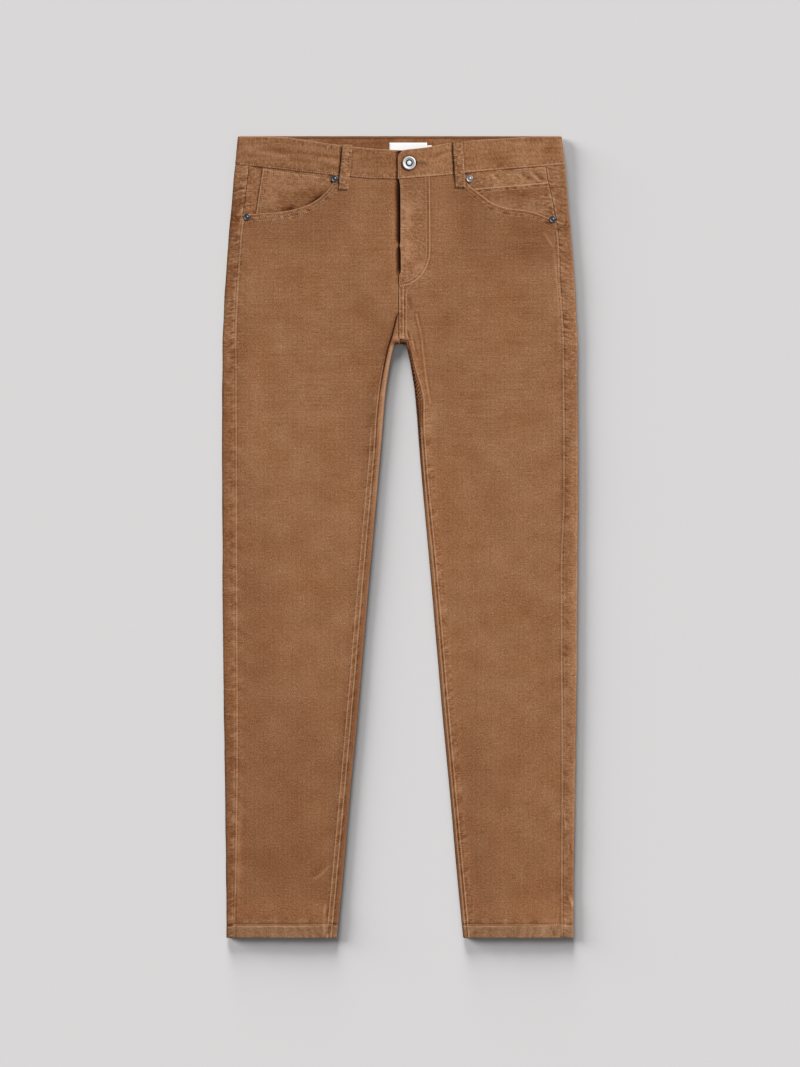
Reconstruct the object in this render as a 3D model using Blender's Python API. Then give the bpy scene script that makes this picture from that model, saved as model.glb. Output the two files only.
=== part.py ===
"""Slim fit five-pocket trousers in fine corduroy, laid flat on their back.

The waistband points towards +Y and the hems towards -Y, the front faces up (+Z), and the wearer's left
side lies towards +X. The origin is on the surface that carries the garment, under the middle of its
outline.

Places are given as a tailor takes them: `across` is measured from the centre line towards one side, and
`down` from the top edge of the back waistband. Each leg and the hips are a flattened tube. The back
panels lie flat, turn round both folds and end on the front at the side seam and the inseam, where the
front panels meet them.
"""

import math
from collections import namedtuple

import bmesh
import bpy

# Driving dimensions, in metres.
LENGTH = 1.0426  # back waistband's top edge to the hem
CLOTH = 0.0012  # wall of one layer of corduroy
BAND = 0.0020  # wall of the doubled waistband
PATCH = 0.0010  # wall of a patch or a label
FACING = 0.0011  # wall of a pocket facing
GAP = 0.0003  # air between two sewn pieces
CROTCH = 0.2700  # down to the lowest point of the rise
HEM = 0.0175  # depth of the turned-up hem
FLY_END = 0.1950  # down to the foot of the fly's overlap
FLAP_EDGE = -0.0012  # the left front laps past the centre line by this much
UNDERLAP = -0.0100  # the right front goes on under the flap as far as this
BAND_UNDERLAP = -0.0260  # and the right end of the waistband as far as this
BACK_BAND = 0.0380  # height of the waistband at the back
YOKE_SIDE = 0.0670  # down to the yoke's seam at the side
YOKE_CENTRE = 0.1040  # and at the centre of the back
BAND_LIFT = 0.0015  # the back waistband lies this high, on its belt loops
YOKE_LIFT = 0.0017  # and the yoke's top edge this high, to meet the band's wall
SEAM_STEP = 0.0004  # a panel's face lies this far under the waistband's
FLY_STEP = 0.0016  # the right front's face lies this far under the flap's
FACING_DEPTH = 0.0028  # a facing's face lies this far under the panel at the pocket's mouth
FACING_RISE = 0.0018  # and comes up by this much above the mouth
POCKET_EASE = 0.0200  # over this length
POCKET_ROWS = 5
POCKET_UNDERLAY = 0.0120  # a facing goes on under the panel by this much
FOLD = 0.0029  # usual radius of the folds at the sides
EASE = 0.0220  # a fold's fullness dies away over this width
WAIST_EASE = 0.0480  # and the waistband's height over this length
INNER_FOLDS = 0.2350  # the inner folds fill out from this far down to the crotch
CROTCH_OPENS = 0.0030  # and turn fully within this length of it
BAND_FACE = 0.0078  # height of the waistband's face at the centre
BAND_FALL = 0.0004  # it falls by this much to the sides
FLAP_RISE = 0.0024  # the left end rides over the right one by this much
FLAP_RAMP = (0.0300, 0.0600)  # and comes down between these two places
LIFT_ENDS = (0.0550, 0.0850)  # the back comes down from its belt loops between these two
UNDER_FLAP = (0.0030, 0.0140)  # the right front sinks between these two places
FLY_CLOSES = 0.0170  # and comes up again over this length, below the fly

FLY_SOFT = (0.0120, 0.0220)  # a front's first two columns, from its inner edge
SIDE_SOFT = (0.0280, 0.0100)  # and its last two, from the side seam
MIDDLE_COLUMNS = (0.25, 0.50, 0.75)  # the others share out the width between them
OUTSIDE = 0.2600  # a line clear of both sides
CUTTER_BOTTOM, CUTTER_HEIGHT = -0.0100, 0.0400

RIGHT, LEFT = -1, 1
NAMES = {RIGHT: "right", LEFT: "left"}
FOLD_STEPS = 4
FLAT_CELLS = 5

Body = namedtuple("Body", "down outer inner side_right side_left")
BODY = (  # half widths of the outline, and how far the side seams lie inside it
    Body(0.0000, 0.2105, 0.0000, 0.0180, 0.0250),
    Body(0.0400, 0.2145, 0.0000, 0.0180, 0.0250),
    Body(0.0850, 0.2185, 0.0000, 0.0165, 0.0212),
    Body(0.1350, 0.2228, 0.0000, 0.0140, 0.0186),
    Body(0.1900, 0.2269, 0.0000, 0.0145, 0.0180),
    Body(0.2400, 0.2295, 0.0000, 0.0147, 0.0170),
    Body(0.2700, 0.2307, 0.0000, 0.0150, 0.0168),
    Body(0.2706, 0.2307, 0.0045, 0.0150, 0.0168),
    Body(0.2716, 0.2307, 0.0074, 0.0150, 0.0168),
    Body(0.2800, 0.2308, 0.0100, 0.0152, 0.0167),
    Body(0.3050, 0.2308, 0.0150, 0.0155, 0.0165),
    Body(0.3370, 0.2310, 0.0193, 0.0158, 0.0163),
    Body(0.4020, 0.2313, 0.0247, 0.0162, 0.0160),
    Body(0.4670, 0.2310, 0.0303, 0.0162, 0.0158),
    Body(0.5640, 0.2308, 0.0392, 0.0162, 0.0188),
    Body(0.6620, 0.2301, 0.0475, 0.0158, 0.0180),
    Body(0.7590, 0.2288, 0.0559, 0.0150, 0.0158),
    Body(0.8570, 0.2273, 0.0652, 0.0130, 0.0142),
    Body(0.9540, 0.2262, 0.0735, 0.0105, 0.0136),
    Body(1.0426, 0.2256, 0.0822, 0.0085, 0.0130),
)

FrontEdge = namedtuple("FrontEdge", "down right left")
FRONT_EDGES = (  # the front panels' inner edges: the fly, the centre seam, then the inseam
    FrontEdge(0.0300, UNDERLAP, FLAP_EDGE),
    FrontEdge(0.1830, UNDERLAP, FLAP_EDGE),
    FrontEdge(0.1950, GAP / 2, GAP / 2),
    FrontEdge(0.2290, GAP / 2, GAP / 2),
    FrontEdge(0.2300, 0.0022, GAP / 2),
    FrontEdge(0.2457, 0.0066, GAP / 2),
    FrontEdge(0.2640, 0.0114, GAP / 2),
    FrontEdge(0.2652, 0.0118, 0.0099),
    FrontEdge(0.2716, 0.0140, 0.0116),
    FrontEdge(0.2800, 0.0162, 0.0140),
    FrontEdge(0.3050, 0.0215, 0.0198),
    FrontEdge(0.3270, 0.0252, 0.0263),
    FrontEdge(0.3470, 0.0277, 0.0298),
    FrontEdge(0.3690, 0.0297, 0.0297),
    FrontEdge(0.4020, 0.0317, 0.0312),
    FrontEdge(0.5640, 0.0458, 0.0458),
    FrontEdge(0.7590, 0.0624, 0.0624),
    FrontEdge(1.0426, 0.0879, 0.0879),
)
TONGUE_TOP = {RIGHT: 0.2300, LEFT: 0.2656}  # the back panels show between the fronts from here down

Waist = namedtuple("Waist", "across top_right seam_right top_left seam_left")
WAIST = (  # down to the front waistband's top edge and to its seam
    Waist(0.0000, 0.0190, 0.0568, 0.0190, 0.0568),
    Waist(0.0300, 0.0172, 0.0563, 0.0160, 0.0543),
    Waist(0.0600, 0.0143, 0.0540, 0.0103, 0.0516),
    Waist(0.0900, 0.0108, 0.0515, 0.0067, 0.0483),
    Waist(0.1200, 0.0063, 0.0482, 0.0047, 0.0453),
    Waist(0.1500, 0.0020, 0.0447, 0.0028, 0.0429),
    Waist(0.1800, 0.0010, 0.0411, 0.0010, 0.0405),
    Waist(0.2105, 0.0008, 0.0380, 0.0008, 0.0378),
)

Height = namedtuple("Height", "down middle edge")
HEIGHTS = (  # the front face's height over the surface, between the folds and at them
    Height(0.0000, 0.0054, 0.0058),
    Height(0.1600, 0.0054, 0.0058),
    Height(0.2700, 0.0042, 0.0056),
    Height(0.3600, 0.0030, 0.0056),
    Height(0.9900, 0.0031, 0.0056),
    Height(1.0180, 0.0065, 0.0068),
    Height(1.0426, 0.0066, 0.0068),
)

Mouth = namedtuple("Mouth", "across down")
POCKET_MOUTHS = {  # the cut edge of each front pocket, from the waistband to the side seam
    RIGHT: (
        Mouth(0.0830, 0.0500),
        Mouth(0.0861, 0.0585),
        Mouth(0.0911, 0.0671),
        Mouth(0.1043, 0.0803),
        Mouth(0.1193, 0.0894),
        Mouth(0.1409, 0.0962),
        Mouth(0.1624, 0.0995),
        Mouth(0.1856, 0.1011),
        Mouth(0.2100, 0.1025),
    ),
    LEFT: (
        Mouth(0.0840, 0.0490),
        Mouth(0.0865, 0.0580),
        Mouth(0.0907, 0.0654),
        Mouth(0.0998, 0.0722),
        Mouth(0.1081, 0.0787),
        Mouth(0.1230, 0.0887),
        Mouth(0.1429, 0.0944),
        Mouth(0.1662, 0.0972),
        Mouth(0.1940, 0.1069),
        Mouth(0.2100, 0.1140),
    ),
}

Patch = namedtuple("Patch", "name start start_top end_top end_bottom end_top_down end_bottom_down")
COIN_POCKET = Patch("coin_pocket", 0.0885, 0.0556, 0.1782, 0.1873, 0.0430, 0.1011)
LEFT_PATCH = Patch("pocket_patch_left", 0.0970, 0.0685, 0.1950, 0.2020, 0.0604, 0.1100)
PATCH_SEAT = 0.0004  # air between a patch and the facing that it is sewn to
PATCH_UNDERLAY = 0.0060  # a patch goes on under the panel by this much
FACING_START = 0.0030  # a facing starts this far before the mouth
FACING_CELLS, PATCH_CELLS = 8, 7
LEAST_ROW = 0.0006  # the least distance between two rows of a pocket

Loop = namedtuple("Loop", "across_top across_foot down_top down_foot")
FRONT_LOOPS = {
    RIGHT: Loop(0.0680, 0.0735, 0.0118, 0.0702),
    LEFT: Loop(0.0748, 0.0788, 0.0080, 0.0676),
}
LOOP_WIDTH = 0.0130
LOOP_SEAT = 0.0006  # the ends of a loop lie this far over the waistband and the panel
LOOP_ARCH = 0.0010  # a loop stands off the waistband by this much at its middle
LOOP_SHARES = (0.0, 0.12, 0.4, 0.66, 0.72, 0.86, 1.0)
LOOP_BENDS = (0.30, 0.66)  # its arch is full between these shares of its length
LOOP_LEAVES = 0.0020  # a loop leaves the waistband this far below its seam
BACK_LOOPS = {"right": -0.1250, "centre": 0.0000, "left": 0.1250}
BACK_LOOP_TOP, BACK_LOOP_FOOT = 0.0015, 0.0520

Tag = namedtuple("Tag", "start end top bottom")
TAGS = {
    "label": Tag(-0.0140, 0.0352, 0.0086, 0.0340),
    "label_tab": Tag(0.0355, 0.0415, 0.0122, 0.0340),
}

FLAP_CORNER = 0.0050  # the left end's rounded corner reaches this far along its top edge
FLAP_CORNER_DROP = 0.0045  # and this far down its end
CORNER_COLUMNS = (0.0015, 0.0050)
BAND_SHARES = (0.0, 0.5, 1.0)

BUTTON_AT = Mouth(0.0120, 0.0360)
BUTTON_RADIUS = 0.0087
SHANK_RADIUS = 0.0023
BUTTONHOLE_END = 0.0380
BUTTONHOLE_EYE = 0.0205
BUTTONHOLE_EASE = 0.0006  # the eye's clearance round the shank
BUTTONHOLE_SLIT = 0.0007  # half the slit's width
EYE_START, EYE_TURN, EYE_STEPS = 30, 300, 12
BUTTON_STEPS, RIVET_STEPS = 28, 16
BUTTON_CAP = (  # share of the radius, and height over the band
    (0.86, 0.0),
    (1.00, 0.0009),
    (0.97, 0.0020),
    (0.86, 0.0027),
    (0.74, 0.0026),
    (0.66, 0.0019),
    (0.34, 0.0019),
    (0.28, 0.0025),
    (0.00, 0.0027),
)
RIVET_CAP = (
    (0.00, 0.0),
    (0.90, 0.0),
    (1.00, 0.0004),
    (0.86, 0.0010),
    (0.62, 0.0010),
    (0.50, 0.0007),
    (0.30, 0.0014),
    (0.00, 0.0016),
)
RIVETS = {
    "right_waist": (RIGHT, Mouth(0.0849, 0.0560)),
    "right_side": (RIGHT, Mouth(0.1990, 0.1056)),
    "left_waist": (LEFT, Mouth(0.0905, 0.0560)),
    "left_side": (LEFT, Mouth(0.1985, 0.1085)),
}
RIVET_RADIUS = 0.0045

LEVELS = (  # rows of the panels, from the waist to the hem
    (0.0570, 0.0670, 0.0800, 0.0930, 0.1040, 0.1200, 0.1450, 0.1700, 0.1830, 0.1950, 0.2120)
    + (0.2290, 0.2300, 0.2457, 0.2640, 0.2652, 0.2656, CROTCH, 0.2706, 0.2716, 0.2800, 0.3050)
    + (0.3270, 0.3470, 0.3690, 0.4020, 0.4600, 0.5200, 0.5800, 0.6400, 0.7000, 0.7600, 0.8200)
    + (0.8800, 0.9400, 0.9900, 1.0070, 1.0240)
)
LEVELS_SETTLE = 0.1950  # rows above this one follow the waist's curve

CORDUROY = (0.292, 0.133, 0.061)
LABEL_WHITE = (0.900, 0.925, 0.920)
BRUSHED_METAL = (0.420, 0.420, 0.430)
DARK_METAL = (0.110, 0.105, 0.105)

Column = namedtuple("Column", "part share")
BACK_COLUMNS = (
    [Column("side", 0.0)]
    + [Column("outer fold", 90 - 180 * step / FOLD_STEPS) for step in range(FOLD_STEPS + 1)]
    + [Column("flat", cell / FLAT_CELLS) for cell in range(1, FLAT_CELLS)]
    + [Column("inner fold", -90 + 180 * step / FOLD_STEPS) for step in range(FOLD_STEPS + 1)]
    + [Column("tongue", 0.0)]
)


def ease(value, start, end):
    """0 up to start, 1 from end on, and a smooth step between them."""
    share = min(1.0, max(0.0, (value - start) / (end - start)))
    return share * share * (3 - 2 * share)


def curve(table, column, key="down"):
    """A smooth function through one column of a table, which never overshoots the rows."""
    places = [getattr(row, key) for row in table]
    values = [getattr(row, column) for row in table]
    spans = [b - a for a, b in zip(places, places[1:])]
    slopes = [(b - a) / span for a, b, span in zip(values, values[1:], spans)]
    tangents = [slopes[0]]
    for before, after in zip(slopes, slopes[1:]):
        same_way = before * after > 0
        tangents.append(2 * before * after / (before + after) if same_way else 0.0)
    tangents.append(slopes[-1])

    def at(place):
        index = max(0, min(len(spans) - 1, sum(place >= p for p in places) - 1))
        span = spans[index]
        t = min(1.0, max(0.0, (place - places[index]) / span))
        start = values[index] * (1 + 2 * t) * (1 - t) ** 2 + tangents[index] * span * t * (1 - t) ** 2
        end = values[index + 1] * t * t * (3 - 2 * t) + tangents[index + 1] * span * t * t * (t - 1)
        return start + end

    return at


outer_edge = curve(BODY, "outer")
inner_edge = curve(BODY, "inner")
side_inset = {RIGHT: curve(BODY, "side_right"), LEFT: curve(BODY, "side_left")}
front_edge = {RIGHT: curve(FRONT_EDGES, "right"), LEFT: curve(FRONT_EDGES, "left")}
band_top = {RIGHT: curve(WAIST, "top_right", "across"), LEFT: curve(WAIST, "top_left", "across")}
band_seam = {RIGHT: curve(WAIST, "seam_right", "across"), LEFT: curve(WAIST, "seam_left", "across")}
middle_height = curve(HEIGHTS, "middle")
edge_height = curve(HEIGHTS, "edge")
mouth = {side: curve(POCKET_MOUTHS[side], "down", "across") for side in (RIGHT, LEFT)}


def lift(down):
    """Height of the back's underside: it climbs to the waistband, which lies on its belt loops."""
    return YOKE_LIFT * (1 - ease(down, *LIFT_ENDS))


def band_height(side, across):
    """Height of the front waistband's face. The left end rides over the right one."""
    base = BAND_FACE - BAND_FALL * min(1.0, (across / BODY[0].outer) ** 2)
    return base + (FLAP_RISE * (1 - ease(across, *FLAP_RAMP)) if side == LEFT else 0.0)


def waist_share(side, across, down):
    """1 at the waistband's seam, and 0 where its height has died away."""
    return 1 - ease(down - band_seam[side](abs(across)), 0.0, WAIST_EASE)


def top_height(side, across, down):
    """Height of the garment's front face."""
    near_outer = 1 - ease(outer_edge(down) - FOLD - across, 0.0, EASE)
    near_inner = 1 - ease(across - inner_edge(down) - FOLD, 0.0, EASE)
    near = max(near_outer, near_inner * ease(down, INNER_FOLDS, CROTCH))
    middle = middle_height(down)
    height = middle + (edge_height(down) - middle) * near
    waist = waist_share(side, across, down)
    return height + (band_height(side, abs(across)) - SEAM_STEP - height) * waist


def fly_drop(side, across, down):
    """How far the right front sinks to pass under the flap."""
    if side == LEFT:
        return 0.0
    under = (1 - ease(across, *UNDER_FLAP)) * (1 - ease(down, FLY_END, FLY_END + FLY_CLOSES))
    return FLY_STEP * under * (1 - waist_share(side, across, down))


def side_seam(side, down):
    return outer_edge(down) - side_inset[side](down)


def settled(level, top, first):
    """The row's place on a column whose top lies at `top`: rows follow the top, and level out."""
    if level >= LEVELS_SETTLE:
        return level
    return top + (level - first) * (LEVELS_SETTLE - top) / (LEVELS_SETTLE - first)


def placed(side, across, down, height):
    return (side * across, LENGTH / 2 - down, height)


# Meshes


def finish(name, colour, roughness, metallic=0.0):
    """A plain material."""
    material = bpy.data.materials.get(name) or bpy.data.materials.new(name)
    material.use_nodes = True
    shader = material.node_tree.nodes["Principled BSDF"]
    shader.inputs["Base Color"].default_value = (*colour, 1.0)
    shader.inputs["Roughness"].default_value = roughness
    shader.inputs["Metallic"].default_value = metallic
    material.diffuse_color = (*colour, 1.0)
    return material


def corduroy():
    return finish("corduroy", CORDUROY, 0.92)


def mesh_object(name, mesh, material):
    made = bpy.data.objects.new(name, mesh)
    bpy.context.scene.collection.objects.link(made)
    mesh.materials.append(material)
    return made


def add_sheet(name, rows, wall, material, turned=False, present=lambda row, column: True):
    """Cloth through rows of points on its outer face, with its wall behind them.

    `turned` is for rows whose points run towards -X on the upper side. `present` says which cells of
    the grid are cloth."""
    sheet = bmesh.new()
    points = {}

    def corner(row, column):
        if (row, column) not in points:
            points[row, column] = sheet.verts.new(rows[row][column])
        return points[row, column]

    for row in range(len(rows) - 1):
        for column in range(len(rows[0]) - 1):
            if not present(row, column):
                continue
            corners = [
                corner(row, column),
                corner(row + 1, column),
                corner(row + 1, column + 1),
                corner(row, column + 1),
            ]
            sheet.faces.new(corners[::-1] if turned else corners)
    mesh = bpy.data.meshes.new(name)
    sheet.to_mesh(mesh)
    sheet.free()
    mesh.shade_smooth()
    made = mesh_object(name, mesh, material)
    thicken = made.modifiers.new("wall", "SOLIDIFY")
    thicken.thickness = wall
    thicken.offset = -1
    thicken.use_even_offset = True
    return made


def cutter(name, outline):
    """A hidden prism over an outline of (x, y) points, which cuts a piece right through."""
    shape = bmesh.new()
    ring = [shape.verts.new((x, y, CUTTER_BOTTOM)) for x, y in outline]
    face = shape.faces.new(ring)
    grown = bmesh.ops.extrude_face_region(shape, geom=[face])["geom"]
    upper = [v for v in grown if isinstance(v, bmesh.types.BMVert)]
    bmesh.ops.translate(shape, vec=(0, 0, CUTTER_HEIGHT), verts=upper)
    bmesh.ops.recalc_face_normals(shape, faces=shape.faces)
    mesh = bpy.data.meshes.new(name)
    shape.to_mesh(mesh)
    shape.free()
    made = mesh_object(name, mesh, corduroy())
    made.hide_render = True
    made.display_type = "WIRE"
    return made


def cut(piece, tool):
    boolean = piece.modifiers.new("cut", "BOOLEAN")
    boolean.operation = "DIFFERENCE"
    boolean.solver = "EXACT"
    boolean.object = tool


def add_turned(name, profile, at, steps, material):
    """A round piece, turned from a profile of (radius, height) that starts and ends on the axis."""
    shape = bmesh.new()
    verts = [shape.verts.new((radius, 0.0, height)) for radius, height in profile]
    edges = [shape.edges.new(pair) for pair in zip(verts, verts[1:])]
    bmesh.ops.spin(
        shape,
        geom=verts + edges,
        axis=(0, 0, 1),
        cent=(0, 0, 0),
        angle=2 * math.pi,
        steps=steps,
        use_merge=True,
    )
    bmesh.ops.remove_doubles(shape, verts=shape.verts, dist=1e-6)
    bmesh.ops.recalc_face_normals(shape, faces=shape.faces)
    mesh = bpy.data.meshes.new(name)
    shape.to_mesh(mesh)
    shape.free()
    mesh.shade_smooth()
    made = mesh_object(name, mesh, material)
    made.location = at
    return made


# Legs and hips


def hem_rows():
    """(down, depth) of the rows that turn the hem up inside the leg."""
    turn = CLOTH + GAP
    end = LENGTH - turn
    rows = []
    for step in range(FOLD_STEPS + 1):
        angle = math.pi * step / FOLD_STEPS
        rows.append((end + turn * math.sin(angle), turn * (1 - math.cos(angle))))
    rows.append((LENGTH - HEM, 2 * turn))
    return rows


def front_across(side, down):
    """The columns of a front panel at one row."""
    inner = front_edge[side](down)
    seam = side_seam(side, down) - GAP / 2
    near_fly, past_fly = (inner + reach for reach in FLY_SOFT)
    near_side, past_side = (seam - reach for reach in SIDE_SOFT)
    between = [past_fly + (near_side - past_fly) * share for share in MIDDLE_COLUMNS]
    return [inner, near_fly, past_fly, *between, near_side, past_side, seam]


def front_row(side, level, depth=0.0):
    row = []
    for column, rough in enumerate(front_across(side, level)):
        down = settled(level, band_seam[side](abs(rough)) + GAP / 2, LEVELS[0])
        across = front_across(side, down)[column]
        height = top_height(side, across, down) - fly_drop(side, across, down) - depth
        row.append(placed(side, across, down, height))
    return row


def add_front(side):
    """A front leg panel, with its pocket mouth cut out."""
    name = "front_" + NAMES[side]
    rows = [front_row(side, level) for level in LEVELS]
    rows += [front_row(side, down, depth) for down, depth in hem_rows()]
    panel = add_sheet(name, rows, CLOTH, corduroy(), turned=side == RIGHT)
    edge = [(side * m.across, LENGTH / 2 - m.down) for m in mouth_points(side)]
    far = side * OUTSIDE
    corner = [(far, edge[-1][1]), (far, LENGTH / 2), (edge[0][0], LENGTH / 2)]
    cut(panel, cutter(name + "_mouth", edge + corner))


def mouth_points(side):
    """The pocket's cut edge as a fine polyline."""
    table = POCKET_MOUTHS[side]
    points = []
    for first, second in zip(table, table[1:]):
        for step in range(2):
            across = first.across + (second.across - first.across) * step / 2
            points.append(Mouth(across, mouth[side](across)))
    return points + [table[-1]]


def back_point(side, column, down, depth=0.0):
    """A point on the back piece's outer face, in a section across the leg or the hips."""
    low = lift(down)
    outer = outer_edge(down)
    inner = max(inner_edge(down), GAP / 2)
    outer_top = top_height(side, outer - FOLD, down)
    outer_radius = (outer_top - low) / 2
    inner_top = top_height(side, inner + FOLD, down)
    inner_radius = (inner_top - low) / 2
    inner_reach = 0.0
    if down >= CROTCH:
        inner_reach = GAP + (inner_radius - GAP) * ease(down, CROTCH, CROTCH + CROTCH_OPENS)
    angle = math.radians(column.share)
    if column.part == "side":
        across = side_seam(side, down) + GAP / 2
        return across, top_height(side, across, down) - depth
    if column.part == "outer fold":
        turn = outer_radius - depth
        return outer - outer_radius + turn * math.cos(angle), low + outer_radius + turn * math.sin(angle)
    if column.part == "flat":
        start, end = outer - outer_radius, inner + inner_reach
        return start + (end - start) * column.share, low + depth
    if column.part == "inner fold":
        turn = inner_radius - depth
        reach = max(inner_reach - depth, 0.0)
        across = inner + inner_reach - reach * math.cos(angle)
        return across, low + inner_radius + turn * math.sin(angle)
    across = front_edge[side](down) - GAP
    return across, top_height(side, across, down) - depth


def along_back(column):
    """How far round towards the centre of the back a column lies: 0 on the front, 1 at the centre."""
    if column.part in ("side", "outer fold"):
        return 0.0
    return column.share if column.part == "flat" else 1.0


def waist_seam(side, column):
    """Down to the waistband's seam at a column of the back."""
    if column.part == "side":
        return band_seam[side](side_seam(side, BACK_BAND)) + GAP / 2
    return BACK_BAND + GAP / 2


def yoke_seam(column):
    return YOKE_SIDE + (YOKE_CENTRE - YOKE_SIDE) * along_back(column)


def add_back(side):
    """A back leg panel, from the yoke's seam to the turned-up hem."""
    levels = [level for level in LEVELS if level >= YOKE_CENTRE]
    folds = len([c for c in BACK_COLUMNS if c.part in ("side", "outer fold", "flat")])

    def row(level, depth=0.0):
        points = []
        for column in BACK_COLUMNS:
            down = settled(level, yoke_seam(column) + GAP / 2, levels[0])
            across, height = back_point(side, column, down, depth)
            points.append(placed(side, across, down, height))
        return points

    def present(index, column):
        level = levels[min(index, len(levels) - 1)]
        if column == len(BACK_COLUMNS) - 2:
            return level >= TONGUE_TOP[side]
        return column < folds or level >= CROTCH

    rows = [row(level) for level in levels]
    rows += [row(down, depth) for down, depth in hem_rows()]
    name = "back_" + NAMES[side]
    add_sheet(name, rows, CLOTH, corduroy(), turned=side == RIGHT, present=present)


def add_yoke(side):
    """The back yoke, whose end comes round to the front beside the side seam."""
    columns = [c for c in BACK_COLUMNS if c.part in ("side", "outer fold", "flat")] + [
        Column("inner fold", -90.0)
    ]
    shares = (0.0, 0.35, 0.7, 1.0)
    rows = []
    for share in shares:
        row = []
        for column in columns:
            top = waist_seam(side, column)
            bottom = yoke_seam(column) - GAP / 2
            down = top + (bottom - top) * share
            across, height = back_point(side, column, down)
            row.append(placed(side, across, down, height))
        rows.append(row)
    add_sheet("yoke_" + NAMES[side], rows, CLOTH, corduroy(), turned=side == RIGHT)


# Pockets


def facing_depth(side, across, down):
    """How far a facing's face lies under the front's: deepest at the pocket's mouth."""
    above = ease(mouth[side](across) - down, 0.0, POCKET_EASE)
    return FACING_DEPTH - FACING_RISE * above


def pocket_row(side, across, top, underlay, index):
    """Down to a row of a facing or a patch: from its top edge, past the mouth, to its hidden edge."""
    if index == 0:
        return top
    from_mouth = (-POCKET_EASE, -POCKET_EASE / 2, 0.0, underlay)[index - 1]
    return max(top + LEAST_ROW * index, mouth[side](across) + from_mouth)


def add_facing(side):
    """The facing that shows in the pocket's mouth and goes on under the panel."""
    start = POCKET_MOUTHS[side][0].across - FACING_START
    rows = []
    for index in range(POCKET_ROWS):
        row = []
        for step in range(FACING_CELLS + 1):
            down = mouth[side](start)
            for _ in range(3):  # the side seam leans, so the place settles in a few rounds
                end = side_seam(side, down) - GAP
                across = start + (end - start) * step / FACING_CELLS
                down = pocket_row(side, across, band_seam[side](across) + GAP / 2, POCKET_UNDERLAY, index)
            height = top_height(side, across, down) - facing_depth(side, across, down)
            row.append(placed(side, across, down, height))
        rows.append(row)
    add_sheet("facing_" + NAMES[side], rows, FACING, corduroy(), turned=side == RIGHT)


def add_patch(side, patch):
    """A patch sewn on the facing: the coin pocket on the right, a turned edge on the left."""
    rows = []
    for index in range(POCKET_ROWS):
        row = []
        for step in range(PATCH_CELLS + 1):
            along = step / PATCH_CELLS
            top = patch.start_top + (patch.end_top_down - patch.start_top) * along
            across = patch.start + (patch.end_top - patch.start) * along
            for _ in range(3):  # the outer edge leans too
                down = pocket_row(side, across, top, PATCH_UNDERLAY, index)
                lean = (down - top) / (patch.end_bottom_down - patch.end_top_down)
                end = patch.end_top + (patch.end_bottom - patch.end_top) * lean
                end = min(end, side_seam(side, down) - GAP)
                across = patch.start + (end - patch.start) * along
            depth = facing_depth(side, across, down) - PATCH_SEAT - PATCH
            row.append(placed(side, across, down, top_height(side, across, down) - depth))
        rows.append(row)
    add_sheet(patch.name, rows, PATCH, corduroy(), turned=side == RIGHT)


# Waist


def band_station(side, column, share):
    """(across, down, height) of the waistband at a column, a share of the way down it."""
    if column.part == "front":
        across = column.share
        top = band_top[side](abs(across)) + corner_drop(side, across)
        bottom = band_seam[side](abs(across)) - GAP / 2
        return across, top + (bottom - top) * share, band_height(side, abs(across))
    turned = (90 - column.share) / 180 if column.part == "outer fold" else 1.0
    bottom = BACK_BAND - GAP / 2
    top = band_top[side](BODY[0].outer) * (1 - turned)
    down = top + (bottom - top) * share
    outer = outer_edge(down)
    radius = (band_height(side, outer) - BAND_LIFT) / 2
    if column.part == "outer fold":
        angle = math.radians(column.share)
        return (
            outer - radius + radius * math.cos(angle),
            down,
            BAND_LIFT + radius + radius * math.sin(angle),
        )
    return (outer - radius) * (1 - column.share), down, BAND_LIFT


def corner_drop(side, across):
    """The left end's upper corner is rounded."""
    if side == RIGHT:
        return 0.0
    return FLAP_CORNER_DROP * (1 - ease(across, FLAP_EDGE, FLAP_EDGE + FLAP_CORNER))


def band_columns(side, end):
    """Columns of one half of the waistband, from its front end to the centre of the back."""
    seam = [band_seam[side](abs(across)) for across in front_across(side, LEVELS[0])]
    panel = [front_across(side, down)[index] for index, down in enumerate(seam)]
    corner = [end + reach for reach in CORNER_COLUMNS] if side == LEFT else []
    fronts = sorted({end, *corner, *panel[0 if end < panel[0] else 1 :]})
    return (
        [Column("front", across) for across in fronts]
        + [Column("outer fold", 90 - 180 * step / FOLD_STEPS) for step in range(FOLD_STEPS + 1)]
        + [Column("flat", cell / FLAT_CELLS) for cell in range(1, FLAT_CELLS)]
    )


def add_waistband():
    """One doubled band round the waist, with its left end over its right one and a buttonhole."""
    rows = []
    for share in BAND_SHARES:
        row = []
        for side, end in ((RIGHT, BAND_UNDERLAP), (LEFT, FLAP_EDGE)):
            half = []
            for column in band_columns(side, end):
                across, down, height = band_station(side, column, share)
                half.append(placed(side, across, down, height))
            row += half if side == RIGHT else half[::-1]
        rows.append(row)
    band = add_sheet("waistband", rows, BAND, corduroy(), turned=True)
    cut(band, cutter("buttonhole", keyhole()))


def keyhole():
    """The buttonhole's outline: a round eye round the shank, and a slit towards the side."""
    y = LENGTH / 2 - BUTTON_AT.down
    radius, slit = SHANK_RADIUS + BUTTONHOLE_EASE, BUTTONHOLE_SLIT
    eye = []
    for step in range(EYE_STEPS + 1):
        angle = math.radians(EYE_START + EYE_TURN * step / EYE_STEPS)
        centre = BUTTON_AT.across if abs(angle - math.pi) < math.pi / 2 else BUTTONHOLE_EYE
        eye.append((centre + radius * math.cos(angle), y + radius * math.sin(angle)))
    return eye + [(BUTTONHOLE_END, y - slit), (BUTTONHOLE_END, y + slit)]


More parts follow.
